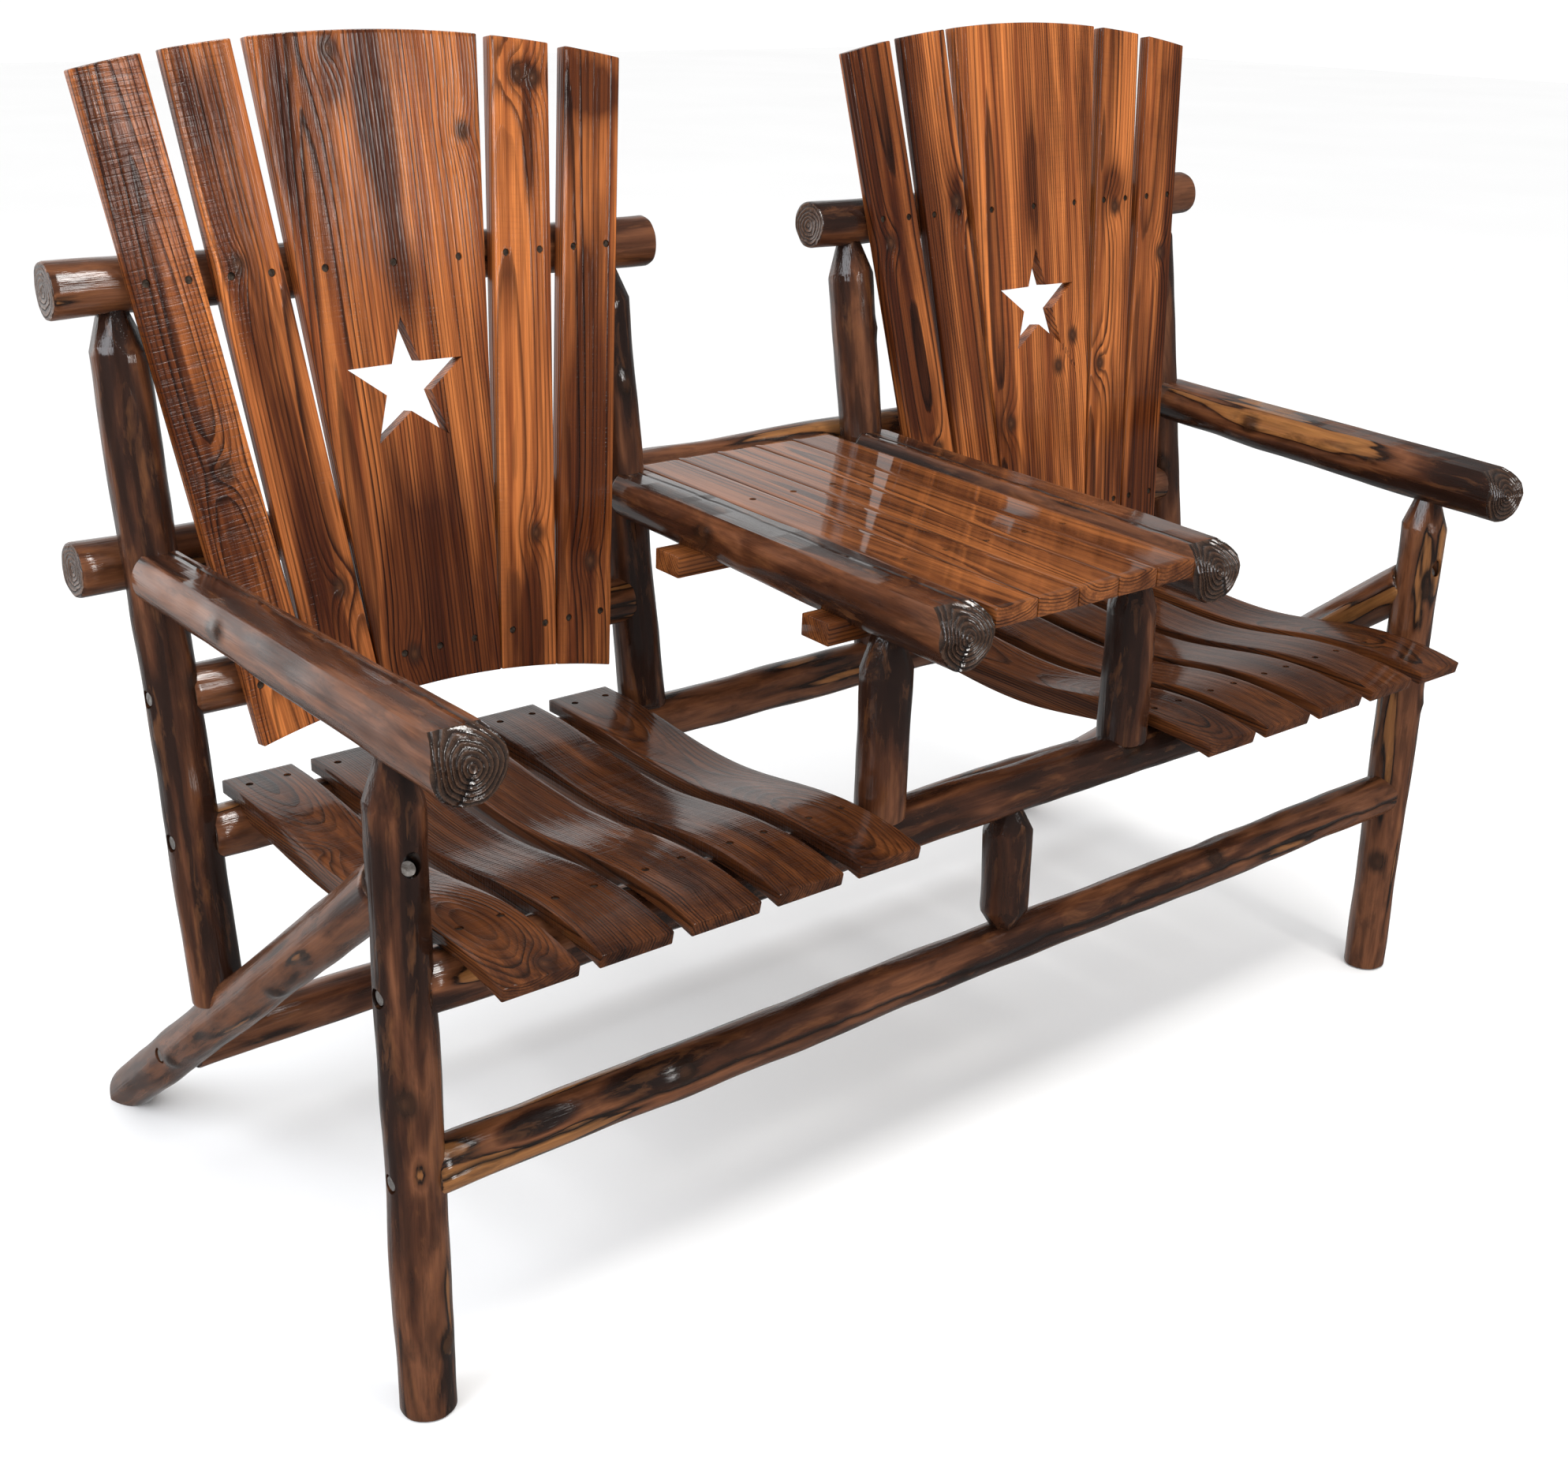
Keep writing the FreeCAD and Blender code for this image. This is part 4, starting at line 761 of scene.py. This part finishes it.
def sawn_board(node, columns, rows, surface, thick, soft):
    """Board under a sheet of points: surface(u, v) is its face, u across and v along."""
    bpy.ops.mesh.primitive_grid_add(x_subdivisions=columns, y_subdivisions=rows, size=1)
    board = bpy.context.object
    board.name = board.data.name = f"{node}_wood"
    for vertex in board.data.vertices:
        vertex.co = surface(vertex.co.x + 0.5, vertex.co.y + 0.5)
    board.data.update()
    apply(board, "SOLIDIFY", thickness=thick, offset=-1, use_even_offset=True)
    ease_edges(board, soft)
    return board


def dress_board(board, node, finish):
    """Gives a finished board its finish and its place on the frame."""
    board.data.materials.append(finish)
    only(board)
    bpy.ops.object.shade_smooth_by_angle(angle=radians(35))
    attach(board, "root")
    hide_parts(node)


table_wood = board_finish("table_wood", (0.265, 0.086, 0.023), (0.15, 0.046, 0.013), (0.036, 0.011, 0.004),
                          (0.26, 0.2, 0.17), 0.0034, 1.0, 0.05, 0.00003)
table_frame = frame_at(arm_zero, (1, 0, 0), arm_back, arm_up)
lengthwise = Matrix(((1, 0, 0, 0), (0, 0, 1, 0), (0, -1, 0, 0), (0, 0, 0, 1)))
batten_spots = (0.048, 0.286)
batten_size = (0.444, 0.04, 0.023)
batten_down = 0.0575
shoulder_x = 0.138
tongue = 0.02
for label, back in zip(("front", "rear"), batten_spots):
    node = f"table_batten_{label}"
    bpy.ops.mesh.primitive_cube_add(size=1)
    batten = bpy.context.object
    batten.name = batten.data.name = f"{node}_wood"
    edit(batten)
    bpy.ops.transform.resize(value=batten_size)
    for x in (-shoulder_x, shoulder_x):
        take_all()
        bpy.ops.mesh.bisect(plane_co=(x, 0, 0), plane_no=(1, 0, 0))
    select(batten, "FACE", lambda face: face.normal.z > 0.9 and abs(face.calc_center_median().x) < 0.1)
    bpy.ops.mesh.extrude_region_move(TRANSFORM_OT_translate={"value": (0, 0, tongue)})
    take_all()
    bpy.ops.transform.translate(value=(0, back, -batten_down))
    leave()
    ease_edges(batten, 0.0015)
    set_up(batten, table_frame)
    across = Matrix.Translation(on_arm(0, back, -0.05)) @ Matrix.Rotation(pi / 2, 4, "Y")
    mark_grain(batten, across, 30 + back, 0.42, (0.02, 0.05))
    dress_board(batten, node, table_wood)

slat_w = 0.0544
slat_gap = 0.001
slat_len = 0.566
slat_start = -0.107
slat_down = 0.006
slat_t = 0.02
for number in range(1, 6):
    node = f"table_slat_{number}"
    middle = (number - 3) * (slat_w + slat_gap)
    slat = sawn_board(node, 8, 60, lambda u, v: (
        middle + (u - 0.5) * slat_w, slat_start + slat_len * v, -slat_down), slat_t, 0.0016)
    set_up(slat, table_frame)
    bore(slat, [(on_arm(middle, back, -slat_down), arm_up) for back in batten_spots], **screw_hole)
    own = table_frame @ Matrix.Translation((middle, 0, 0)) @ lengthwise
    mark_grain(slat, own, 31 + number, 0.46 + 0.05 * sin(2.1 * number),
               (0.012 * sin(1.7 * number), 0.045 + 0.012 * cos(number)))
    dress_board(slat, node, table_wood)

# Backs. Each is a fan of four narrow boards and a wide middle one with a sawn star, arched over the top
# and under the seat, and screwed to the top log and the lower back log.

back_wood = board_finish("back_wood", (0.56, 0.176, 0.044), (0.2, 0.049, 0.012), (0.045, 0.012, 0.004),
                         (0.17, 0.12, 0.1), 0.0036, 0.8, 0.11, 0.0004)
fan_low = 0.08
crown = (0.735 - 1.36, 1.36)
arch = (0.107 - 0.82, 0.82)
board_front = 0.0423
board_t = 0.016
screw_aside = 0.02
screw_inset = 0.03
narrow_w = 0.066
slab_half = 0.065
slab_flare = tan(radians(4.8))
star_r = 0.066
star_waist = 0.026
star_up = 0.405
cross_up = 0.1425
top_up = 0.5216
FAN = ((1, -7.8, -0.16669), (2, -6.1, -0.09919), (3, 0, 0), (4, 6.1, 0.09919), (5, 7.8, 0.16669))
# Tone of each board, first to fifth. The first two on the left are set paler than their wood, a painted sheen
# for the pale reflection on them.
BACK_TONES_AND_SHEEN = {"left": (0.56, 0.54, 0.48, 0.6, 0.42), "right": (0.36, 0.38, 0.5, 0.42, 0.38)}
BACK_KNOTS = {
    "left": (
        ((0.004, 0, 0.27), (-0.012, 0, 0.1)),
        ((-0.011, 0, 0.455), (0.013, 0, 0.14)),
        ((-0.042, 0, 0.638), (0.092, 0, 0.56), (-0.03, 0, 0.06)),
        ((-0.004, 0, 0.615), (0.014, 0, 0.612), (0.01, 0, 0.16)),
        ((0.006, 0, 0.12),),
    ),
    "right": (
        ((-0.014, 0, 0.42), (0.01, 0, 0.17)),
        ((0.018, 0, 0.455),),
        ((0.032, 0, 0.245), (0.06, 0, 0.28), (-0.056, 0, 0.183)),
        ((0.0, 0, 0.435), (-0.016, 0, 0.24)),
        ((0.012, 0, 0.375),),
    ),
}
# Burns on each board, (x, y, z, half width, half length, depth): torch char, but the wide ones low down, just
# above the seat, are partly char and partly painted shade.
BACK_BURNS_AND_SHADE = {
    "left": (
        ((-0.02, 0, 0.42, 0.022, 0.16, 0.8), (0.0, 0, 0.14, 0.035, 0.14, 0.6)),
        ((0.0, 0, 0.42, 0.02, 0.18, 0.8), (-0.01, 0, 0.6, 0.03, 0.05, 0.6),
         (0.0, 0, 0.15, 0.035, 0.2, 0.9)),
        ((-0.004, 0, 0.575, 0.022, 0.11, 1.0), (-0.097, 0, 0.59, 0.013, 0.1, 1.1),
         (-0.04, 0, 0.62, 0.012, 0.03, 1.2), (0.012, 0, 0.43, 0.016, 0.05, 0.8),
         (0.0, 0, 0.08, 0.09, 0.17, 1.3), (0.045, 0, 0.54, 0.03, 0.14, -0.5)),
        ((0.008, 0, 0.565, 0.0045, 0.06, 2.2), (0.005, 0, 0.615, 0.02, 0.015, 1.0),
         (0.0, 0, 0.06, 0.03, 0.12, 0.9), (0.0, 0, 0.33, 0.05, 0.12, -0.6)),
        ((0.0, 0, 0.6, 0.04, 0.025, 1.0), (-0.006, 0, 0.4, 0.006, 0.035, 2.0),
         (0.0, 0, 0.22, 0.04, 0.16, 0.5)),
    ),
    "right": (
        ((0.0, 0, 0.24, 0.02, 0.07, 1.3), (-0.03, 0, 0.45, 0.012, 0.2, 1.0)),
        ((-0.03, 0, 0.4, 0.01, 0.25, 1.2), (0.02, 0, 0.46, 0.012, 0.03, 1.0)),
        ((0.0, 0, 0.467, 0.01, 0.07, 1.3), (-0.02, 0, 0.1, 0.05, 0.1, 0.7),
         (-0.05, 0, 0.42, 0.03, 0.15, -0.5), (0.06, 0, 0.4, 0.03, 0.2, -0.4)),
        ((0.0, 0, 0.46, 0.02, 0.03, 1.0), (0.0, 0, 0.1, 0.03, 0.1, 0.6)),
        ((0.028, 0, 0.4, 0.01, 0.25, 1.0), (0.0, 0, 0.08, 0.03, 0.12, 0.8)),
    ),
}


def fan_line(slant, low_middle, u):
    """Foot and way of the line of a fan board that lies at u across it."""
    if low_middle:
        turn = radians(slant)
        across = Vector((cos(turn), -sin(turn)))
        foot = Vector((low_middle, fan_low)) + across * (u - 0.5) * narrow_w
        return foot, Vector((sin(turn), cos(turn)))
    way = Vector(((2 * u - 1) * slab_flare, 1)).normalized()
    return Vector(((2 * u - 1) * slab_half, fan_low)), way


def to_circle(foot, way, circle):
    """Distance along the line to the upper side of a circle, given as (height of its centre, radius)."""
    gap = foot - Vector((0, circle[0]))
    half = way.dot(gap)
    return -half + sqrt(half * half - gap.length_squared + circle[1] ** 2)


for side, sign in (("left", -1), ("right", 1)):
    front = Vector((0, -cos(lean), sin(lean)))
    chair = frame_at((sign * chair_x, rail_y, rail_z), (1, 0, 0), up_post, front)
    for number, slant, low_middle in FAN:
        node = f"back_slat_{side}_{number}"

        def face(u, v):
            foot, way = fan_line(slant, low_middle, u)
            low = to_circle(foot, way, arch)
            high = to_circle(foot, way, crown)
            return (*(foot + way * (low + (high - low) * v)), board_front)

        board = sawn_board(node, 36 if number == 3 else 14, 130, face, board_t, 0.0014)
        if number == 3:
            over = 0.03
            middle = Vector((0, star_up, board_front - over))
            bpy.ops.mesh.primitive_circle_add(vertices=10, radius=star_r, fill_type="NGON", location=middle)
            star = bpy.context.object
            bpy.ops.object.transform_apply(location=True)
            edit(star)
            shape = bmesh.from_edit_mesh(star.data)
            first = max(shape.verts, key=lambda vert: vert.co.y).index
            select(star, "VERT", lambda vert: (vert.index - first) % 2 == 1)
            waist = star_waist / star_r
            bpy.ops.transform.resize(value=(waist, waist, 1), center_override=middle)
            take_all()
            bpy.ops.mesh.extrude_region_move(TRANSFORM_OT_translate={"value": (0, 0, 2 * over)})
            take_all()
            bpy.ops.mesh.normals_make_consistent(inside=False)
            leave()
            subtract(board, star)
        set_up(board, chair)
        spots = []
        for up in (cross_up, top_up):
            foot, _ = fan_line(slant, low_middle, 0.5)
            middle = foot.x + (up - fan_low) * tan(radians(slant))
            edge = slab_half + (up - fan_low) * slab_flare - screw_inset
            pair = (middle - screw_aside, middle + screw_aside)
            for across in (-edge, 0, edge) if number == 3 else pair:
                spots.append((chair @ Vector((across, up, board_front)), front))
        bore(board, spots, **screw_hole)
        own = chair @ Matrix.Translation((low_middle, fan_low, board_front))
        own = own @ Matrix.Rotation(-radians(slant), 4, "Z") @ lengthwise
        seed = 40 + 5 * (sign > 0) + number
        pith = (0.03 * sin(1.3 * seed), 0.035 + 0.015 * cos(seed))
        if number == 3:
            pith = (0.075, 0.04)
        mark_grain(board, own, seed, BACK_TONES_AND_SHEEN[side][number - 1], pith,
                   BACK_KNOTS[side][number - 1], BACK_BURNS_AND_SHADE[side][number - 1],
                   sawn=0.55 if side == "left" and number < 3 else 0.1)
        dress_board(board, node, back_wood)

# Seats. Five boards in each chair, sawn to one curve from thick planks: hollow in the middle, level over
# the two rails they are screwed to, rolled down under the knees, and left thicker below between the rails.

seat_wood = board_finish("seat_wood", (0.13, 0.041, 0.012), (0.06, 0.018, 0.006), (0.01, 0.004, 0.002),
                         (0.26, 0.21, 0.18), 0.0029, 0.8, 0.045, 0.00012)
seat_w = 0.075
seat_x = 0.436
seat_z = 0.4643
seat_t = 0.014
seat_len = 0.52
seat_step = 0.095
knee_run = 0.096
knee_drop = 0.011
hollow_at = 0.196
hollow = 0.018
rear_at = 0.398
rear_rise = 0.014
belly = 0.012
belly_run = 0.02
rail_clear = 0.012
SEAT_KNOTS = {
    ("left", 1): ((0.01, 0, -0.082), (-0.024, 0, 0.24)),
    ("left", 3): ((-0.006, 0, -0.05),),
    ("left", 4): ((0.024, 0, 0.3),),
    ("right", 2): ((0.012, 0, -0.06),),
    ("right", 4): ((-0.02, 0, 0.16),),
    ("right", 5): ((-0.018, 0, -0.03),),
}


def seat_height(y):
    """Top of the seat at a distance behind the front rail."""
    if y < 0:
        radius = (knee_run ** 2 + knee_drop ** 2) / (2 * knee_drop)
        return seat_z - radius + sqrt(radius ** 2 - y * y)
    if y < hollow_at:
        return seat_z - hollow * (1 - cos(pi * y / hollow_at)) / 2
    rise = min(1, (y - hollow_at) / (rear_at - hollow_at))
    return seat_z - hollow + rear_rise * (1 - cos(pi * rise)) / 2


for side, sign in (("left", -1), ("right", 1)):
    for number in range(1, 6):
        node = f"seat_slat_{side}_{number}"
        middle = sign * seat_x + (number - 3) * seat_step

        def face(u, v):
            back = seat_len * v - knee_run
            return middle + (u - 0.5) * seat_w, front_y + back, seat_height(back)

        slat = sawn_board(node, 12, 100, face, seat_t, 0.0016)
        for vertex in slat.data.vertices:
            back = vertex.co.y - front_y
            inside = min(back, rear_at - back) - rail_clear
            if vertex.co.z < seat_height(back) - 0.009:
                vertex.co.z -= belly * max(0, min(1, inside / belly_run))
        bore(slat, [((middle + step, front_y + back, seat_height(back)), (0, 0, 1))
                    for back in (0, rear_at) for step in (-screw_aside, screw_aside)], **screw_hole)
        own = Matrix.Translation((middle, front_y, 0.455)) @ lengthwise
        seed = 60 + 5 * (sign > 0) + number
        pith = (0.01, 0.05) if number in (1, 5) else (0.08 * (-1) ** number, 0.028)
        mark_grain(slat, own, seed, 0.47 + 0.06 * sin(1.9 * seed) + 0.03 * sign, pith,
                   SEAT_KNOTS.get((side, number), ()), sawn=0.35)
        dress_board(slat, node, seat_wood)

# Bolts and screws. Plain steel bolts lie in the counterbores of the logs, and small dark screws below the
# faces of the boards. They are the solids of the frame with a worn metal finish.


def worn_steel(name, bright, dull, rough):
    """Dull steel with stains and fine scratches."""
    mixed = Finish(name)
    place = mixed.add("TexCoord", "Object")
    stain = mixed.cloud(place, (210, 210, 210), 4, 0.65)
    scratch = mixed.cloud(place, (1500, 300, 1500), 2, 0.5)
    metal = mixed.ramp(stain, ((0.34, dull), (0.66, bright)))
    mixed.shader.inputs["Metallic"].default_value = 0.9
    return mixed.show(metal, mixed.ramp(stain, ((0.3, rough + 0.2), (0.7, rough))),
                      mixed.relief(scratch, 0.0003))


bolt_steel = worn_steel("bolt_steel", (0.52, 0.5, 0.48), (0.24, 0.21, 0.19), 0.36)
screw_steel = worn_steel("screw_steel", (0.12, 0.095, 0.075), (0.035, 0.024, 0.018), 0.45)
for node, metal in (("frame_bolts", bolt_steel), ("back_screws", screw_steel),
                    ("seat_screws", screw_steel), ("table_screws", screw_steel)):
    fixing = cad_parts[node]
    fixing.data.materials.clear()
    fixing.data.materials.append(metal)

# Studio: a pale floor, a white room that is brightest behind, soft boxes to the left, above and in front,
# and the camera where the photograph was taken.

bpy.ops.mesh.primitive_plane_add(size=40)
floor = bpy.context.object
floor.name = "studio_floor"
paper = Finish("pale_paper")
haze = paper.cloud(paper.add("TexCoord", "Object"), (0.7, 0.7, 0.7), 2, 0.5)
floor.data.materials.append(paper.show(paper.ramp(haze, ((0.3, 0.93), (0.7, 0.95))), 0.9,
                                       paper.relief(haze, 0.001, 0.05)))
floor.visible_glossy = False


class Room(Finish):
    """Light that comes from all round, mixed from nodes in the same way as a finish."""

    def __init__(self, name):
        self.world = bpy.data.worlds.new(name)
        self.world.use_nodes = True
        self.tree = self.world.node_tree

    def spread(self, value, start, stop, low=0.0, high=1.0):
        """Goes from low to high while the value goes from start to stop."""
        return self.add("MapRange", 0, {"Value": value, "From Min": start, "From Max": stop,
                                        "To Min": low, "To Max": high})


room = Room("white_room")
toward = room.add("TexCoord", "Generated")
rightward, backward, skyward = (room.add("SeparateXYZ", axis, {0: toward}) for axis in "XYZ")
wall = room.times(room.spread(backward, 0.5, 0.85), room.spread(skyward, -0.3, 0.05, 0.3))
corner = room.spread(backward, 0.74, 0.86, 0.3, 2.0)
rear_wall = room.spread(wall, 0.0, 1.0, 0.12, room.spread(rightward, -0.15, -0.4, 0.95, corner))
shone = room.add("Mix", 0, {"Factor": room.add("LightPath", "Is Glossy Ray"), "A": 1.09, "B": rear_wall})
seen = room.add("Mix", 0, {"Factor": room.add("LightPath", "Is Camera Ray"), "A": shone, "B": 1.05})
sky = room.tree.nodes["Background"]
sky.inputs["Color"].default_value = (1, 1, 1, 1)
room.wire(seen, sky.inputs["Strength"])
bpy.context.scene.world = room.world
SOFT_BOXES = (
    ("left_box", (-2.8, -0.3, 2.2), (-0.3, 0, 0.6), (2.2, 2.2), 60, (0.9, 0.94, 1.0)),
    ("top_box", (0.2, -1.3, 3.2), (0, 0, 0.5), (0.9, 0.9), 42, (1.0, 0.98, 0.95)),
    ("front_box", (0.4, -3.6, 2.0), (0, 0, 0.7), (0.5, 1.1), 24, (1.0, 0.98, 0.96)),
)
for name, spot, aim, (width, height), power, colour in SOFT_BOXES:
    bpy.ops.object.light_add(type="AREA", location=spot)
    lamp = bpy.context.object
    lamp.name = name
    lamp.rotation_euler = (Vector(aim) - Vector(spot)).to_track_quat("-Z", "Y").to_euler()
    lamp.data.shape = "RECTANGLE"
    lamp.data.size = width
    lamp.data.size_y = height
    lamp.data.energy = power
    lamp.data.color = colour

yaw, pitch, roll = (radians(value) for value in (39.724, -21.366, 1.125))
ahead = Vector((sin(yaw) * cos(pitch), cos(yaw) * cos(pitch), sin(pitch)))
level = Vector((cos(yaw), -sin(yaw), 0))
upward = level.cross(ahead)
right = level * cos(roll) + upward * sin(roll)
top = upward * cos(roll) - level * sin(roll)
photo_width_px = 1988
focal_px = 2541.7
shift_px = (-7.0, 2.4)
sensor = 36
camera_spot = (-1.3932, -1.6045, 1.2306)
lens = bpy.data.cameras.new("photo_camera")
lens.sensor_fit = "HORIZONTAL"
lens.sensor_width = sensor
lens.lens = focal_px / photo_width_px * sensor
lens.shift_x, lens.shift_y = (shift / photo_width_px for shift in shift_px)
camera = bpy.data.objects.new("photo_camera", lens)
bpy.context.scene.collection.objects.link(camera)
camera.matrix_world = frame_at(camera_spot, right, top, -ahead)
bpy.context.scene.camera = camera
bpy.context.scene.view_settings.view_transform = "Standard"
